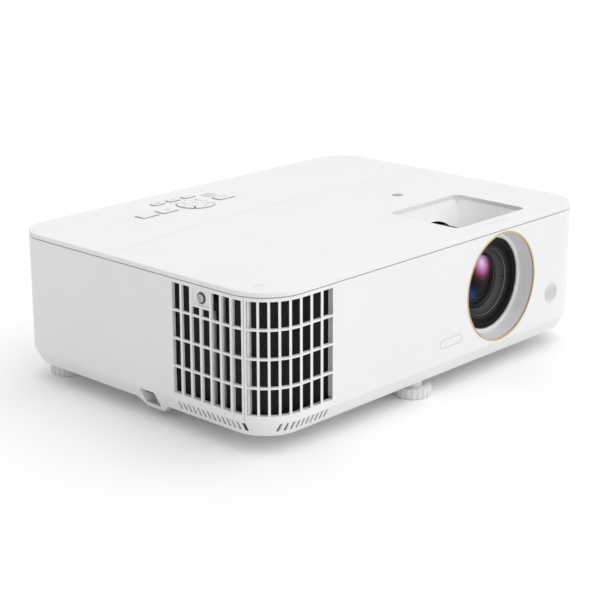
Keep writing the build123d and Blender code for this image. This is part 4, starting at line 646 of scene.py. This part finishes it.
def signArrow(mesh, x, y, size, turn=0):
    head = bmesh.ops.create_cone(mesh, cap_ends=True, segments=3, radius1=size * millimetre,
                                 radius2=size * millimetre, depth=signs["thick"])["verts"]
    placeMark(mesh, head, x, y, turn)


def signRing(mesh, x, y, radius, width, turn=360, begin=0):
    inner, outer = (radius - width / 2) * millimetre, (radius + width / 2) * millimetre
    half = signs["thick"] / 2
    known = set(mesh.verts)
    corners = [mesh.verts.new((reach, 0, level))
               for reach, level in ((inner, -half), (outer, -half), (outer, half), (inner, half))]
    section = [mesh.faces.new(corners)]
    if turn == 360:  # a full ring has no end faces
        rim = section[0].edges[:]
        bmesh.ops.delete(mesh, geom=section, context="FACES_ONLY")
        section = rim
    bmesh.ops.spin(mesh, geom=section, cent=(0, 0, 0), axis=(0, 0, 1), angle=radians(turn),
                   steps=signs["steps"], use_merge=turn == 360)
    placeMark(mesh, [v for v in mesh.verts if v not in known], x, y, begin)


# each mark is a shape and its sizes
def drawSign(name, marks, place, finish, body):
    mesh = bmesh.new()
    for shape, *sizes in marks:
        shape(mesh, *sizes)
    bmesh.ops.recalc_face_normals(mesh, faces=mesh.faces)
    bmesh.ops.translate(mesh, verts=mesh.verts, vec=place)
    newPiece(name, mesh, finish, body)


keySigns = {
    "menu_key": [(signBar, 0, 1.1, 4.2), (signBar, 0, 0, 4.2), (signBar, 0, -1.1, 4.2)],
    "source_key": [(signBar, 1.4, 0, 0.5, 2.8), (signBar, -0.7, 0, 2.4), (signArrow, 0.2, 0, 0.9, -90)],
    "back_key": [(signBar, 0.5, 0, 3.2), (signArrow, -1.3, 0, 0.95, 90)],
    "volume_down_key": [(signBar, 0, 0, 4.2, 0.7)],
    "volume_up_key": [(signBar, 0, 0, 4.2, 0.7), (signBar, 0, 0, 4.2, 0.7, 90)],
    "picture_key": [(signBar, 0, 1.6, 5.4), (signBar, 0, -1.6, 5.4), (signBar, -2.45, 0, 0.5, 2.8),
                    (signBar, 2.45, 0, 0.5, 2.8)],
    "power_key": [(signRing, 0, 0, 2.3, 0.55, 290, 125), (signBar, 0, 1.9, 0.6, 2.4)],
    "ok_key": [(signRing, 0, 0, 1.6, 0.5)],
    "arrow_up_key": [(signArrow, 0, 0, 1.5, 0)],
    "arrow_left_key": [(signArrow, 0, 0, 1.5, 90)],
    "arrow_down_key": [(signArrow, 0, 0, 1.5, 180)],
    "arrow_right_key": [(signArrow, 0, 0, 1.5, -90)],
}
bodies = frame["record"]["behaviour"]["bodies"]
keyBody = {member: body for body, members in bodies.items() for member in members}
for key, marks in keySigns.items():
    middle = middleOf(key)
    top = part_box(key)[1].z
    drawSign(key + "_sign", marks, (middle.x, middle.y, top), "printed_grey", keyBody[key])

# signs on the lid: which way the rings turn, and which side the lamp cover comes off
lidSigns = {
    "ring_sign": {"at": (0.0664, -0.1031),
                  "marks": [(signBar, 0, 0, 17.0, 0.45), (signArrow, -9.2, 0, 1.3, 90),
                            (signArrow, 9.2, 0, 1.3, -90), (signBar, 0, 0, 0.5, 2.4)]},
    "cover_sign": {"at": (-0.1404, -0.0906),
                   "marks": [(signArrow, -3.4, 0, 1.0, 90), (signBar, 0.6, 1.3, 5.2),
                             (signBar, 0.6, -1.3, 5.2), (signBar, -1.8, 0, 0.5, 2.6),
                             (signBar, 3.0, 0, 0.5, 2.6)]},
}
for name, values in lidSigns.items():
    drawSign(name, values["marks"], (*values["at"], lidTop), "badge_rim", "case")
print("lid and key signs made")

# camera at the photograph's angle
viewpoint = {"azimuth": -47.16, "elevation": 16.75, "distance": 1.0954, "target": (0, 0, 0.0488),
             "lens": 98.58, "sensor": 36, "shift": (-0.016, -0.0252), "far": 50}
azimuth = radians(viewpoint["azimuth"])
elevation = radians(viewpoint["elevation"])
back = Vector((sin(azimuth) * cos(elevation), -cos(azimuth) * cos(elevation), sin(elevation)))
camera = bpy.data.objects.new("camera", bpy.data.cameras.new("camera"))
camera.data.lens = viewpoint["lens"]
camera.data.sensor_width = viewpoint["sensor"]
camera.data.shift_x, camera.data.shift_y = viewpoint["shift"]
camera.data.clip_end = viewpoint["far"]
camera.location = Vector(viewpoint["target"]) + back * viewpoint["distance"]
camera.rotation_euler = (pi / 2 - elevation, 0, azimuth)
bpy.context.scene.collection.objects.link(camera)
bpy.context.scene.camera = camera

# soft light: pale surroundings, fuller from the front right and above, and plain white where they are seen
studio = {"around": 0.69, "lean": (0.39, -0.21, 0.45), "least": 0.1}
world = bpy.data.worlds.new("studio")
bpy.context.scene.world = world
world.use_nodes = True
tree = world.node_tree
sky = tree.nodes["Background"]
sky.inputs["Color"].default_value = (1, 1, 1, 1)
rays = addNode(tree, "ShaderNodeLightPath")
seen = addMath(tree, "MAXIMUM", rays.outputs["Is Camera Ray"], rays.outputs["Is Glossy Ray"])
seen = addMath(tree, "MAXIMUM", seen, rays.outputs["Is Transmission Ray"])
lean = addNode(tree, "ShaderNodeVectorMath", {"operation": "DOT_PRODUCT"})
lean.inputs[1].default_value = studio["lean"]
tree.links.new(addNode(tree, "ShaderNodeTexCoord").outputs["Generated"], lean.inputs[0])
around = addMath(tree, "ADD", lean.outputs["Value"], studio["around"])
light = addMath(tree, "MAXIMUM", around, studio["least"])
level = addNode(tree, "ShaderNodeMix", {"data_type": "FLOAT"})
level.inputs[3].default_value = 1.0  # sockets 2 and 3 are its two numbers
tree.links.new(seen, level.inputs[0])
tree.links.new(light, level.inputs[2])
tree.links.new(level.outputs[0], sky.inputs["Strength"])

# one weak broad lamp
softLamp = {"energy": 0.2, "angle": 50, "towards": (0.2, -0.5, 0.85)}
lamp = bpy.data.objects.new("soft_lamp", bpy.data.lights.new("soft_lamp", "SUN"))
lamp.data.energy = softLamp["energy"]
lamp.data.angle = radians(softLamp["angle"])
lamp.rotation_euler = Vector(softLamp["towards"]).to_track_quat("Z", "Y").to_euler()
bpy.context.scene.collection.objects.link(lamp)

# pale floor, lifted a little where the camera sees it
floorPaper = {"radius": 8.0, "sides": 64, "color": 0.965, "shade": 0.955, "fibre": 900, "roughness": 0.9,
              "lift": 0.05}
mesh = bmesh.new()
bmesh.ops.create_circle(mesh, cap_ends=True, segments=floorPaper["sides"], radius=floorPaper["radius"])
data = bpy.data.meshes.new("floor")
mesh.to_mesh(data)
mesh.free()
floor = bpy.data.objects.new("floor", data)
bpy.context.scene.collection.objects.link(floor)
tree, shader, place = startMaterial("floor_paper")
paper = addNoise(tree, place, floorPaper["fibre"])
tint = twoShades(tree, paper, grey(floorPaper["shade"]), grey(floorPaper["color"]))
tree.links.new(tint, shader.inputs["Base Color"])
rays = addNode(tree, "ShaderNodeLightPath")
lift = addMath(tree, "MULTIPLY", rays.outputs["Is Camera Ray"], floorPaper["lift"])
tree.links.new(lift, shader.inputs["Emission Strength"])
setSockets(shader, {"Roughness": floorPaper["roughness"], "Specular IOR Level": 0.0,
                    "Emission Color": (1, 1, 1, 1)})
data.materials.append(looks["floor_paper"])
bpy.context.scene.view_settings.view_transform = "Standard"
print("stage and camera set")
